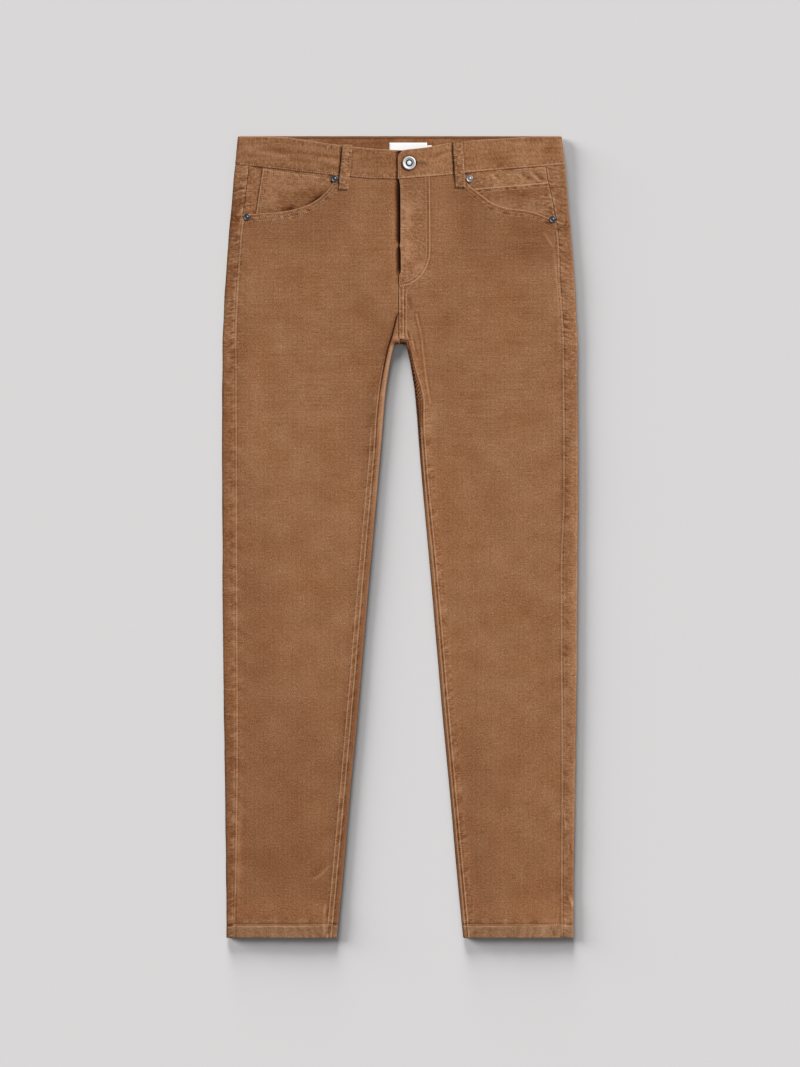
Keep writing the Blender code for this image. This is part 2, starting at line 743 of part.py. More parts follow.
def add_front_loop(side):
    """A belt loop over the front waistband, sewn down above it and on the panel below it."""
    loop = FRONT_LOOPS[side]
    rows = []
    for share in LOOP_SHARES:
        down = loop.down_top + (loop.down_foot - loop.down_top) * share
        centre = loop.across_top + (loop.across_foot - loop.across_top) * share
        row = []
        for half in (-1, 0, 1):
            across = centre + half * LOOP_WIDTH / 2
            over_band = down < band_seam[side](across) + LOOP_LEAVES
            under = band_height(side, across) if over_band else top_height(side, across, down)
            arch = LOOP_ARCH * ease(share, 0.0, LOOP_BENDS[0]) * (1 - ease(share, LOOP_BENDS[1], 1.0))
            row.append(placed(side, across, down, under + LOOP_SEAT + CLOTH + arch))
        rows.append(row)
    add_sheet("belt_loop_front_" + NAMES[side], rows, CLOTH, corduroy(), turned=side == RIGHT)


def add_back_loop(name, centre):
    """A belt loop on the back waistband, flat on the surface that carries the garment."""
    rows = []
    for down in (BACK_LOOP_TOP, BACK_BAND, BACK_LOOP_FOOT):
        rows.append([(centre + half * LOOP_WIDTH / 2, LENGTH / 2 - down, 0.0) for half in (-1, 1)])
    add_sheet("belt_loop_back_" + name, rows, CLOTH, corduroy(), turned=True)


def add_labels():
    """The blank label and a small tab beside it, inside the back waistband."""
    white = finish("label white", LABEL_WHITE, 0.75)
    height = BAND_LIFT + BAND + GAP + PATCH
    for name, tag in TAGS.items():
        rows = []
        for down in (tag.top, tag.bottom):
            rows.append([(across, LENGTH / 2 - down, height) for across in (tag.start, tag.end)])
        add_sheet(name, rows, PATCH, white)


# Metal


def add_button():
    """A tack button: a rimmed cap over the left end of the band, on a shank that ends on the right."""
    seat = band_height(RIGHT, BUTTON_AT.across) + GAP
    under = band_height(LEFT, BUTTON_AT.across) + GAP
    shank = [(0.0, seat), (SHANK_RADIUS, seat), (SHANK_RADIUS, under)]
    profile = shank + [(BUTTON_RADIUS * share, under + height) for share, height in BUTTON_CAP]
    metal = finish("brushed metal", BRUSHED_METAL, 0.35, 1.0)
    at = (BUTTON_AT.across, LENGTH / 2 - BUTTON_AT.down, 0.0)
    add_turned("button", profile, at, BUTTON_STEPS, metal)


def add_rivet(name, side, at):
    r = RIVET_RADIUS
    profile = [(r * share, height) for share, height in RIVET_CAP]
    around = [(-1, 0), (1, 0), (0, -1), (0, 1), (0, 0)]
    seat = max(top_height(side, at.across + r * i, at.down + r * j) for i, j in around)
    metal = finish("dark metal", DARK_METAL, 0.4, 1.0)
    add_turned("rivet_" + name, profile, placed(side, at.across, at.down, seat + GAP), RIVET_STEPS, metal)


def main():
    for old in list(bpy.data.objects):
        bpy.data.objects.remove(old)
    for side in (RIGHT, LEFT):
        add_front(side)
        add_back(side)
        add_yoke(side)
        add_facing(side)
        add_front_loop(side)
    add_patch(RIGHT, COIN_POCKET)
    add_patch(LEFT, LEFT_PATCH)
    add_waistband()
    for name, centre in BACK_LOOPS.items():
        add_back_loop(name, centre)
    add_labels()
    add_button()
    for name, (side, at) in RIVETS.items():
        add_rivet(name, side, at)


main()
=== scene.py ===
"""Finished looks of slim fit five-pocket trousers in fine corduroy, laid flat on their back.

The waistband points towards +Y, the front faces up, and the wearer's left side lies towards +X.
Places are given as a tailor takes them, in metres: `across` is measured from the centre line towards
one side, and `down` from the top edge of the back waistband.
"""

import logging
import math
from collections.abc import Callable, Sequence
from dataclasses import dataclass
from enum import Enum
from typing import NamedTuple

import bpy
import numpy as np
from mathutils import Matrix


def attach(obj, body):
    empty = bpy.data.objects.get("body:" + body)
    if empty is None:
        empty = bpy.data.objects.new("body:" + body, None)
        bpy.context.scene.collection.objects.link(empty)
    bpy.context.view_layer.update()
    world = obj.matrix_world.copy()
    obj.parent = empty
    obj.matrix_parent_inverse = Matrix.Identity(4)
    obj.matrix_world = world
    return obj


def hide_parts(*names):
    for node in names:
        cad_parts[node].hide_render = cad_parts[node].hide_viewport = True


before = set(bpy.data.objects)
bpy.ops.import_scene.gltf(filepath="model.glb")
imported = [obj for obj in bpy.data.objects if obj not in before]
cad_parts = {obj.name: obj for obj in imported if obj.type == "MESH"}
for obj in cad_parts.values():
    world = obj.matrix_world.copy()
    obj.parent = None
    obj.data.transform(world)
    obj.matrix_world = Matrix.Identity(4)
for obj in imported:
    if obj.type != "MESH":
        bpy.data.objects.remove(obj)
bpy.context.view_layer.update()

log = logging.getLogger("trousers")
Material, Object, Socket = bpy.types.Material, bpy.types.Object, bpy.types.NodeSocket
Array = np.ndarray
Line = np.ndarray  # rows of (across, down)
TENTHS = 10000  # of a millimetre in a metre: the tables of places are written in them


class Side(Enum):
    """The wearer's right or left, and the way that it lies along X."""

    RIGHT = -1
    LEFT = 1

    @property
    def word(self) -> str:
        """The side's name in lower case."""
        return self.name.lower()


class Part(Enum):
    """The parts of a section through the flattened garment, from the front's middle round to its back."""

    FRONT = "front"
    STRIP = "strip of the back in front of the fold"
    OUTER_FOLD = "outer fold"
    FLAT = "flat back"
    INNER_FOLD = "inner fold"
    TONGUE = "tongue of the back along the inseam"


class Thread(Enum):
    """The ways in which thread lies on the cloth."""

    STITCHES = "stitches"
    CORD = "cord"


# Shapes of numbers


def ease(value: Array, start: float, end: float) -> Array:
    """A smooth step: 0 up to start, and 1 from end on."""
    share = np.clip((np.asarray(value, float) - start) / (end - start), 0.0, 1.0)
    return share * share * (3 - 2 * share)


def hump(value: Array, centre: float, width: float) -> Array:
    """A smooth hump of height 1 round a centre."""
    return np.exp(-(((np.asarray(value, float) - centre) / width) ** 2))


def roll_off(distance: Array, radius: float) -> Array:
    """How far a rounded edge has fallen at a distance from its end."""
    inside = 1 - np.clip(distance / radius, 0.0, 1.0)
    return radius * (1 - np.sqrt(np.clip(1 - inside * inside, 0.0, 1.0)))


def spread(*stops: tuple[float, float]) -> Array:
    """Places from the first stop to the last.

    Args:
        stops: Pairs of a place and the greatest step from there to the next stop.

    Returns:
        The places in order, each stop among them.
    """
    runs = []
    for (start, step), (end, _) in zip(stops, stops[1:]):
        count = max(1, math.ceil((end - start) / step - 1e-6))
        runs.append(np.linspace(start, end, count, endpoint=False))
    return np.concatenate([*runs, [stops[-1][0]]])


class Course:
    """A smooth course through the rows of a table, which never overshoots them."""

    def __init__(self, places: Sequence[float], values: Sequence[float]) -> None:
        """Keeps the rows and works out the slope at each.

        Args:
            places: The rows' places, in order.
            values: The value at each.
        """
        self.places, self.values = np.array(places, float), np.array(values, float)
        self.spans = np.diff(self.places)
        slopes = np.diff(self.values) / self.spans
        before, after = slopes[:-1], slopes[1:]
        total = np.where(before * after > 0, before + after, 1.0)
        middle = np.where(before * after > 0, 2 * before * after / total, 0.0)
        self.slopes = np.concatenate([slopes[:1], middle, slopes[-1:]])

    def __call__(self, place: Array) -> Array:
        """The course's value at each place, level past both ends.

        Args:
            place: Where it is read.

        Returns:
            The values there.
        """
        place = np.asarray(place, float)
        index = np.clip(np.searchsorted(self.places, place, side="right") - 1, 0, len(self.spans) - 1)
        span = self.spans[index]
        t = np.clip((place - self.places[index]) / span, 0.0, 1.0)
        start = self.values[index] * (1 + 2 * t) * (1 - t) ** 2
        start = start + self.slopes[index] * span * t * (1 - t) ** 2
        end = self.values[index + 1] * t * t * (3 - 2 * t)
        return start + end + self.slopes[index + 1] * span * t * t * (t - 1)


def metres(*rows: Sequence[int]) -> tuple[tuple[float, ...], ...]:
    """Rows of tenths of a millimetre, in metres."""
    return tuple(tuple(value / TENTHS for value in row) for row in rows)


def courses(table: Sequence[Sequence[int]]) -> list[Course]:
    """One course for each column of a table after its first, which holds the places."""
    columns = list(zip(*metres(*table)))
    return [Course(columns[0], column) for column in columns[1:]]


class Unevenness:
    """Soft noise from -1 to 1 that is the same on each run."""

    CELLS = 97

    def __init__(self, seed: int) -> None:
        """Draws the noise's lattice from a fixed seed."""
        self.lattice = np.random.default_rng(seed).uniform(-1, 1, (self.CELLS, self.CELLS))

    def __call__(self, a: Array, b: Array) -> Array:
        """The noise at places given in cells of the lattice.

        Args:
            a: Places one way.
            b: Places the other way.

        Returns:
            The noise at each.
        """
        a, b = np.broadcast_arrays(np.asarray(a, float), np.asarray(b, float))
        i, j = np.floor(a).astype(int), np.floor(b).astype(int)
        s, t = a - i, b - j
        s, t = s * s * (3 - 2 * s), t * t * (3 - 2 * t)
        i, j, i1, j1 = (k % self.CELLS for k in (i, j, i + 1, j + 1))
        near = self.lattice[i, j] * (1 - s) + self.lattice[i1, j] * s
        far = self.lattice[i, j1] * (1 - s) + self.lattice[i1, j1] * s
        return near * (1 - t) + far * t


# Lines on the cloth


def smooth_line(points: Sequence[tuple[float, float]], step: float = 0.0015) -> Line:
    """A smooth line through points on the cloth, with a place at every step.

    Args:
        points: Places that it goes through.
        step: The greatest distance between two of its places.

    Returns:
        The line's places in order.
    """
    knots = np.array(points, float)
    knots = np.vstack([2 * knots[0] - knots[1], knots, 2 * knots[-1] - knots[-2]])
    runs = []
    for p0, p1, p2, p3 in zip(knots, knots[1:], knots[2:], knots[3:]):
        count = max(2, math.ceil(np.linalg.norm(p2 - p1) / step))
        t = np.linspace(0, 1, count, endpoint=False)[:, None]
        bend = (2 * p0 - 5 * p1 + 4 * p2 - p3) * t**2 + (3 * p1 - p0 - 3 * p2 + p3) * t**3
        runs.append((2 * p1 + (p2 - p0) * t + bend) / 2)
    return np.vstack([*runs, knots[-2:-1]])


def beside(line: Line, distance: float) -> Line:
    """The line moved sideways: towards the side seam where it runs down.

    Args:
        line: The line to follow.
        distance: How far it is moved.

    Returns:
        The moved line.
    """
    way = np.gradient(line, axis=0)
    way /= np.linalg.norm(way, axis=1)[:, None]
    return line + distance * np.column_stack([way[:, 1], -way[:, 0]])


def nearest(across: Array, down: Array, line: Line) -> tuple[Array, Array]:
    """How far places lie from a line, and how far along it the nearest point of it is.

    Args:
        across: Places across.
        down: Places down.
        line: The line to measure to.

    Returns:
        The distance to the line and the way along it, at each place.
    """
    across, down = np.broadcast_arrays(across, down)
    best, along = np.full(across.shape, np.inf), np.zeros(across.shape)
    start = 0.0
    coarse = line[:: max(1, len(line) // 40)]
    coarse = np.vstack([coarse, line[-1:]]) if not np.allclose(coarse[-1], line[-1]) else coarse
    for (a0, d0), (a1, d1) in zip(coarse, coarse[1:]):
        length = math.hypot(a1 - a0, d1 - d0)
        share = ((across - a0) * (a1 - a0) + (down - d0) * (d1 - d0)) / length**2
        share = np.clip(share, 0, 1)
        gap = np.hypot(across - a0 - share * (a1 - a0), down - d0 - share * (d1 - d0))
        closer = gap < best
        best = np.where(closer, gap, best)
        along = np.where(closer, start + share * length, along)
        start += length
    return best, along


class Fold(NamedTuple):
    """A soft ridge (rise above 0) or trough between two places, with its bow to one side."""

    start: tuple[float, float]
    end: tuple[float, float]
    rise: float
    width: float
    bow: float = 0.0
    light: float = 0.0

    def line(self) -> Line:
        """The fold's middle line.

        Returns:
            The line's places in order.
        """
        first, last = np.array(self.start), np.array(self.end)
        way = last - first
        middle = (first + last) / 2 + self.bow * np.array([way[1], -way[0]]) / np.linalg.norm(way)
        return smooth_line([tuple(first), tuple(middle), tuple(last)], 0.004)


def folds(*rows: Sequence[float]) -> tuple[Fold, ...]:
    """Folds from a table.

    Args:
        rows: Start across and down, end across and down, rise, width and bow, in tenths of a
            millimetre, and then the light of a fold that has its own.

    Returns:
        One fold for each row.
    """
    made = []
    for *sizes, rise, width, bow, light in (row if len(row) == 8 else (*row, 0.0) for row in rows):
        (start, end, (rise, width, bow)) = metres(sizes[:2], sizes[2:], (rise, width, bow))
        made.append(Fold(start, end, rise, width, bow, light))
    return tuple(made)


class Relief:
    """The small forms of a cloth's face: how far they stand out, their wear and the light and shade painted
    on them, and how crumpled they are.
    """

    def __init__(self, across: Array, down: Array) -> None:
        """Starts with level cloth at the given places."""
        self.across, self.down = np.broadcast_arrays(np.asarray(across, float), np.asarray(down, float))
        self.rise, self.wear, self.crumple = (np.zeros(self.across.shape) for _ in range(3))

    def add(self, rise: Array, wear: Array = 0.0) -> None:
        """Adds a form with its wear and painted light: above 0 paler, rubbed pile and painted highlight;
        below 0 darker, deep dye and painted shade.
        """
        self.rise = self.rise + rise
        self.wear = self.wear + wear

    def crush(self, amount: Array) -> None:
        """Sets how strongly fine creases show beside a seam, up to 1: their bump, and their light and shade
        painted into the colour.
        """
        self.crumple = np.maximum(self.crumple, amount)

    def turn_up(self, fade: Array) -> None:
        """Carries the last row's forms on round a turned edge, where they fade.

        Args:
            fade: How much is left of them on each new row.
        """
        self.rise = np.vstack([self.rise, self.rise[-1:] * fade])
        # the turn also gets a painted highlight along the turned edge
        self.wear = np.vstack([self.wear, self.wear[-1:] * fade + 0.25 * fade * (1 - fade)])
        self.crumple = np.vstack([self.crumple, self.crumple[-1:] * fade])

    def groove(self, distance: Array, depth: Array, width: float, dark: Array = 0.0) -> None:
        """Adds a groove along a line with painted shade in it, or a ridge with a painted highlight where
        depth and dark are below 0.
        """
        fall = hump(distance, 0.0, width)
        self.add(-depth * fall, -dark * fall)

    def fold(self, fold: Fold, light: float = 0.0) -> None:
        """Adds a crease that dies away at both ends, with its own light or the given one.

        Args:
            fold: The crease.
            light: Its light where it has none of its own.
        """
        line = fold.line()
        length = float(np.linalg.norm(np.diff(line, axis=0), axis=1).sum())
        distance, along = nearest(self.across, self.down, line)
        taper = ease(along / length, 0.0, 0.3) * (1 - ease(along / length, 0.7, 1.0))
        shape = hump(distance, 0.0, fold.width) * taper
        self.add(fold.rise * shape, (fold.light or light) * shape)

    def puckers(
        self,
        distance: Array,
        along: Array,
        depth: Array,
        reach: float,
        pitch: float,
        seed: int,
        slant: float = 0.0,
        contrast: float = 0.35,
    ) -> None:
        """Adds gathers that cross a seam and die away beside it.

        Args:
            distance: How far each place lies from the seam.
            along: Where each place lies along the seam.
            depth: How far the gathers stand out.
            reach: How far they reach to each side.
            pitch: About how far apart they lie.
            seed: Which set of gathers.
            slant: How far they lean along the seam for each step away from it.
            contrast: How much light and shade is painted on them.
        """
        place = (along + slant * distance) / (pitch * 0.5)
        noise = Unevenness(seed)(place, distance / (reach * 1.3) + 40)
        shape = noise * hump(distance, 0.0, reach)
        self.add(depth * shape, contrast * shape)


# The garment's form


@dataclass
class Form:
    """The garment as it lies: the outline, the seams and the heights of its cloth."""

    length: float = 1.0426
    cloth: float = 0.0012
    band: float = 0.002
    patch: float = 0.001
    facing: float = 0.0011
    gap: float = 0.0003
    side_joint: float = 0.00006
    crotch: float = 0.27
    hem: float = 0.0175
    fly_end: float = 0.195
    band_end: float = -0.0029
    band_underlap: float = -0.026
    back_band: float = 0.038
    yoke_side: float = 0.067
    yoke_centre: float = 0.104
    band_lift: float = 0.0015
    yoke_lift: float = 0.0017
    seam_step: float = 0.0004
    fly_step: float = 0.002
    fold: float = 0.0029
    fold_ease: float = 0.022
    waist_ease: float = 0.048
    half_waist: float = 0.2105

    # down, half width, inner edge, side seam inside the outline on the right and on the left
    BODY = (
        (0, 2105, 0, 180, 250), (400, 2145, 0, 180, 250), (850, 2185, 0, 165, 200),
        (1350, 2228, 0, 140, 160), (1900, 2269, 0, 145, 180), (2400, 2295, 0, 147, 170),
        (2700, 2307, 0, 150, 168), (2706, 2307, 45, 150, 168), (2716, 2307, 74, 150, 168),
        (2800, 2308, 100, 152, 167), (3050, 2308, 150, 155, 165), (3370, 2310, 193, 158, 163),
        (4020, 2313, 247, 162, 160), (4670, 2310, 303, 162, 158), (5640, 2308, 392, 162, 188),
        (6620, 2301, 475, 158, 180), (7590, 2288, 559, 150, 158), (8570, 2273, 652, 130, 142),
        (9540, 2262, 735, 105, 136), (10426, 2256, 822, 85, 130),
    )
    # down, the front panels' inner edges on the right and on the left
    FRONT_EDGES = (
        (300, -100, -12), (560, -100, -11), (640, -100, 0), (800, -100, 6), (1370, -100, 6),
        (1425, -100, -3), (1500, -100, 10), (1750, -100, 12), (1820, -100, -8), (1950, 3, -14),
        (2290, 3, -14), (2300, 22, -14), (2457, 66, -12), (2640, 114, -10), (2652, 118, 99),
        (2716, 140, 116), (2800, 162, 140), (3050, 215, 198), (3270, 252, 263), (3470, 277, 298),
        (3690, 297, 297), (4020, 317, 312), (5640, 458, 458), (7590, 624, 624), (10426, 879, 879),
    )
    # across, the front waistband's top edge and seam on the right, then on the left
    WAIST = (
        (0, 190, 568, 190, 568), (300, 172, 563, 160, 543), (600, 143, 540, 103, 516),
        (900, 108, 515, 67, 483), (1200, 63, 482, 47, 453), (1500, 20, 447, 28, 429),
        (1800, 10, 411, 10, 405), (2105, 8, 380, 8, 378),
    )
    # down, the front face's height between the folds and at them
    HEIGHTS = (
        (0, 54, 58), (1600, 54, 58), (2700, 42, 56), (3600, 30, 56), (9900, 31, 56), (10180, 65, 68),
        (10426, 66, 68),
    )
    # across, down along each front pocket's mouth
    RIGHT_MOUTH = (
        (830, 500), (861, 585), (911, 671), (1043, 803), (1193, 894), (1409, 962), (1624, 995),
        (1856, 1011), (2100, 1025),
    )
    LEFT_MOUTH = (
        (840, 490), (865, 580), (907, 654), (998, 722), (1081, 787), (1230, 887), (1429, 944),
        (1662, 972), (1940, 1069), (2100, 1140),
    )

    def __post_init__(self) -> None:
        """Makes the courses through the tables."""
        self.outer, self.inner, right, left = courses(self.BODY)
        self.inset = {Side.RIGHT: right, Side.LEFT: left}
        right, left = courses(self.FRONT_EDGES)
        self.front_edge = {Side.RIGHT: right, Side.LEFT: left}
        right_top, right_seam, left_top, left_seam = courses(self.WAIST)
        self.band_top = {Side.RIGHT: right_top, Side.LEFT: left_top}
        self.band_seam = {Side.RIGHT: right_seam, Side.LEFT: left_seam}
        self.middle, self.edge = courses(self.HEIGHTS)
        self.mouth = {Side.RIGHT: courses(self.RIGHT_MOUTH)[0], Side.LEFT: courses(self.LEFT_MOUTH)[0]}
        starts = {Side.RIGHT: self.RIGHT_MOUTH[0][0], Side.LEFT: self.LEFT_MOUTH[0][0]}
        self.mouth_start = {side: start / TENTHS for side, start in starts.items()}

    def lift(self, down: Array) -> Array:
        """Height of the back's underside, which climbs to the waistband on its belt loops."""
        return self.yoke_lift * (1 - ease(down, 0.055, 0.085))

    def band_height(self, side: Side, across: Array) -> Array:
        """Height of the front waistband's face. The left end rides over the right one."""
        base = 0.0078 - 0.0004 * np.minimum(1.0, (across / self.half_waist) ** 2)
        return base + (0.0024 * (1 - ease(across, 0.03, 0.06)) if side is Side.LEFT else 0.0)

    def waist_share(self, side: Side, across: Array, down: Array) -> Array:
        """1 at the waistband's seam, and 0 where its height has died away."""
        return 1 - ease(down - self.band_seam[side](np.abs(across)), 0.0, self.waist_ease)

    def top(self, side: Side, across: Array, down: Array) -> Array:
        """Height of the front face, without its small forms.

        Args:
            side: The wearer's side.
            across: Places across.
            down: Places down.

        Returns:
            Heights.
        """
        near_outer = 1 - ease(self.outer(down) - self.fold - across, 0.0, self.fold_ease)
        near_inner = 1 - ease(across - self.inner(down) - self.fold, 0.0, self.fold_ease)
        near = np.maximum(near_outer, near_inner * ease(down, 0.235, self.crotch))
        middle = self.middle(down)
        height = middle + (self.edge(down) - middle) * near
        waist = self.waist_share(side, across, down)
        return height + (self.band_height(side, np.abs(across)) - self.seam_step - height) * waist

    def side_seam(self, side: Side, down: Array) -> Array:
        """How far across the side seam lies."""
        return self.outer(down) - self.inset[side](down)

    def point(self, side: Side, across: Array, down: Array, height: Array) -> Array:
        """Points in space, along the last axis."""
        across, down, height = np.broadcast_arrays(across, down, height)
        return np.stack([side.value * across, self.length / 2 - down, height], axis=-1)


FORM = Form()


# Meshes


def smooth_normals(points: Array, side: Side) -> Array:
    """Unit normals of a grid whose rows go down and whose columns go towards the side.

    Args:
        points: The grid's places in space.
        side: The wearer's side.

    Returns:
        One normal for each place.
    """
    down = np.gradient(points, axis=0)
    over = np.gradient(points, axis=1)
    normals = side.value * np.cross(down, over)
    return normals / np.maximum(np.linalg.norm(normals, axis=-1, keepdims=True), 1e-12)


def grid_area(points: Array) -> float:
    """The area of a grid's cells, in square metres.

    Args:
        points: The grid's places in space.

    Returns:
        The area.
    """
    one = np.cross(points[1:, :-1] - points[:-1, :-1], points[:-1, 1:] - points[:-1, :-1])
    two = np.cross(points[1:, :-1] - points[1:, 1:], points[:-1, 1:] - points[1:, 1:])
    return float((np.linalg.norm(one, axis=-1) + np.linalg.norm(two, axis=-1)).sum() / 2)


class Piece(NamedTuple):
    """A finished piece of cloth and what it says of itself."""

    made: Object
    node: str
    slot: str = "corduroy"
    flat: tuple[float, float] | None = None
    area: float | None = None
    rests_on: tuple[str, ...] = ()
    together: tuple[str, ...] = ()


@dataclass
class Cloth:
    """One piece of cloth: a grid of places on its outer face, with its wall behind them."""

    name: str
    base: Array
    side: Side
    wall: float
    weave: Array
    relief: Relief | None = None
    edge: Array | float = 0.0
    tone: Array | float = 0.0
    block: int = 3
    kept_rows: Sequence[int] = ()
    kept_columns: Sequence[int] = ()
    present: Callable[[int, int], bool] = lambda row, column: True

    def cells(self) -> tuple[list[int], list[int]]:
        """The rows and the columns on which the coarser inner face has its places.

        Returns:
            Their numbers.
        """
        found = []
        for count, kept in zip(self.base.shape[:2], (self.kept_rows, self.kept_columns)):
            found.append(sorted({*range(0, count, self.block), count - 1, *kept}))
        return found[0], found[1]

    def faces(self, outer: Array, inner: Array) -> list[list[int]]:
        """Faces of the outer side, the inner side and the rims between them.

        Args:
            outer: Numbers of the outer face's points.
            inner: Numbers of the inner face's points.

        Returns:
            The numbers of the points round each face.
        """
        rows, columns = self.cells()
        spans = {
            (i, j): (r0, r1, c0, c1)
            for i, (r0, r1) in enumerate(zip(rows, rows[1:]))
            for j, (c0, c1) in enumerate(zip(columns, columns[1:]))
            if self.present(r0, c0)
        }
        faces = []
        for (i, j), (r0, r1, c0, c1) in spans.items():
            for r in range(r0, r1):
                for c in range(c0, c1):
                    faces.append([outer[r, c], outer[r + 1, c], outer[r + 1, c + 1], outer[r, c + 1]])
            faces.append([inner[r0, c0], inner[r0, c1], inner[r1, c1], inner[r1, c0]])
            if (i - 1, j) not in spans:
                faces.append([*outer[r0, c0 : c1 + 1], inner[r0, c1], inner[r0, c0]])
            if (i + 1, j) not in spans:
                faces.append([*outer[r1, c0 : c1 + 1][::-1], inner[r1, c0], inner[r1, c1]])
            if (i, j - 1) not in spans:
                faces.append([*outer[r0 : r1 + 1, c0][::-1], inner[r0, c0], inner[r1, c0]])
            if (i, j + 1) not in spans:
                faces.append([*outer[r0 : r1 + 1, c1], inner[r1, c1], inner[r0, c1]])
        if self.side is Side.RIGHT:
            faces = [face[::-1] for face in faces]
        return faces

    def build(self, finish: Material) -> Object:
        """Makes the piece as a closed mesh with its weave's places, its wear and painted light, and its tone.

        Args:
            finish: The cloth's material.

        Returns:
            The object.
        """
        shape = self.base.shape[:2]
        normals = smooth_normals(self.base, self.side)
        relief = self.relief or Relief(np.zeros(shape), np.zeros(shape))
        lifted = self.base + relief.rise[..., None] * normals
        outer_points = lifted - np.broadcast_to(self.edge, shape)[..., None] * normals
        inner_points = lifted - self.wall * normals
        count = shape[0] * shape[1]
        outer = np.arange(count).reshape(shape)
        inner = outer + count
        faces = self.faces(outer, inner)
        flat = np.concatenate([np.asarray(face) for face in faces])
        used, packed = np.unique(flat, return_inverse=True)
        ends = np.cumsum([len(face) for face in faces])[:-1]
        faces = [face.tolist() for face in np.split(packed, ends)]
        points = np.concatenate([outer_points.reshape(-1, 3), inner_points.reshape(-1, 3)])[used]
        mesh = mesh_of(self.name, points.tolist(), faces)
        places = np.tile(self.weave.reshape(-1, 2), (2, 1))[used]
        layer = mesh.uv_layers.new(name="weave")
        corners = np.empty(len(mesh.loops), np.int32)
        mesh.loops.foreach_get("vertex_index", corners)
        layer.data.foreach_set("uv", places[corners].astype(np.float32).ravel())
        tone = np.broadcast_to(self.tone, shape)
        for key, values in (("wear", relief.wear), ("tone", tone), ("crumple", relief.crumple)):
            attribute = mesh.attributes.new(key, "FLOAT", "POINT")
            attribute.data.foreach_set("value", np.tile(values.ravel(), 2)[used].astype(np.float32))
        mesh.materials.append(finish)
        mesh.shade_smooth()
        return shown(self.name, mesh)

    def piece(
        self,
        finish: Material,
        flat: tuple[float, float] | None = None,
        rests_on: tuple[str, ...] = (),
        columns: int | None = None,
        **more: object,
    ) -> Piece:
        """Builds the piece and says what it is.

        Args:
            finish: The cloth's material.
            flat: Its width and length laid flat.
            rests_on: The pieces that it lies on.
            columns: How many of the grid's columns its area counts, where not all.
            more: A slot of its own, or the pieces that belong to it.

        Returns:
            The finished piece.
        """
        area = grid_area(self.base[:, :columns]) if flat else None
        node = self.name.removeprefix("cloth_")
        return Piece(self.build(finish), node, flat=flat, area=area, rests_on=rests_on, **more)


def shown(name: str, data: bpy.types.ID) -> Object:
    """A new object of that name and data, in the scene.

    Args:
        name: Its name.
        data: Its mesh, light or camera.

    Returns:
        The object.
    """
    made = bpy.data.objects.new(name, data)
    bpy.context.scene.collection.objects.link(made)
    return made


def mesh_of(name: str, points: Sequence, faces: Sequence, edges: Sequence = ()) -> bpy.types.Mesh:
    """A mesh of points and of faces or edges.

    Args:
        name: Its name.
        points: The points' places.
        faces: Numbers of the points round each face.
        edges: Numbers of the two points of each edge.

    Returns:
        The mesh.
    """
    mesh = bpy.data.meshes.new(name)
    mesh.from_pydata(points, edges, faces)
    return mesh


def evaluated(made: Object) -> Object:
    """Turns an object's modifiers into its plain mesh.

    Args:
        made: The object that has the modifiers.

    Returns:
        The same object.
    """
    graph = bpy.context.evaluated_depsgraph_get()
    mesh = bpy.data.meshes.new_from_object(made.evaluated_get(graph), depsgraph=graph)
    mesh.name = made.name
    made.modifiers.clear()
    made.data = mesh
    return made


def cut_out(made: Object, outline: Sequence[tuple[float, float]], low: float, high: float) -> None:
    """Cuts an upright hole with an outline of (x, y) points right through a piece.

    Args:
        made: The piece to cut.
        outline: The hole's corners.
        low: The height of the cut's foot.
        high: The height of its top.
    """
    count = len(outline)
    points = [(x, y, z) for z in (low, high) for x, y in outline]
    sides = [[i, (i + 1) % count, count + (i + 1) % count, count + i] for i in range(count)]
    ends = [list(range(count))[::-1], list(range(count, 2 * count))]
    tool = shown("cutter", mesh_of("cutter", points, [*ends, *sides]))
    cut = made.modifiers.new("hole", "BOOLEAN")
    cut.operation = "DIFFERENCE"
    cut.solver = "EXACT"
    cut.object = tool
    evaluated(made)
    bpy.data.objects.remove(tool)


def turned(
    name: str, profile: Sequence[tuple[float, float]], at: Sequence[float], steps: int
) -> Object:
    """A round piece, turned from a profile of (radius, height) that runs from the axis up to the axis.

    Args:
        name: The piece's name.
        profile: Its outline from the foot up.
        at: Where the middle of its foot stands.
        steps: How many sides it has.

    Returns:
        The object.
    """
    points, faces = [], []
    rings = []
    for radius, height in profile:
        ring = []
        for step in range(steps if radius > 0 else 1):
            angle = 2 * math.pi * step / steps
            x, y = at[0] + radius * math.cos(angle), at[1] + radius * math.sin(angle)
            points.append((x, y, at[2] + height))
            ring.append(len(points) - 1)
        rings.append(ring)
    for low, high in zip(rings, rings[1:]):
        for step in range(steps):
            after = (step + 1) % steps
            corners = ((low, step), (low, after), (high, after), (high, step))
            faces.append(list(dict.fromkeys(ring[i % len(ring)] for ring, i in corners)))
    mesh = mesh_of(name, points, faces)
    mesh.shade_smooth()
    mesh.set_sharp_from_angle(angle=math.radians(50))
    return shown(name, mesh)


# Finishes


def feed(tree: bpy.types.NodeTree, socket: Socket, value: object) -> None:
    """Links an input to another socket, or sets it to a value.

    Args:
        tree: The tree that both are in.
        socket: The input.
        value: A socket to link, a value, or None to leave it as it is.
    """
    if isinstance(value, Socket):
        tree.links.new(value, socket)
    elif value is not None:
        socket.default_value = value


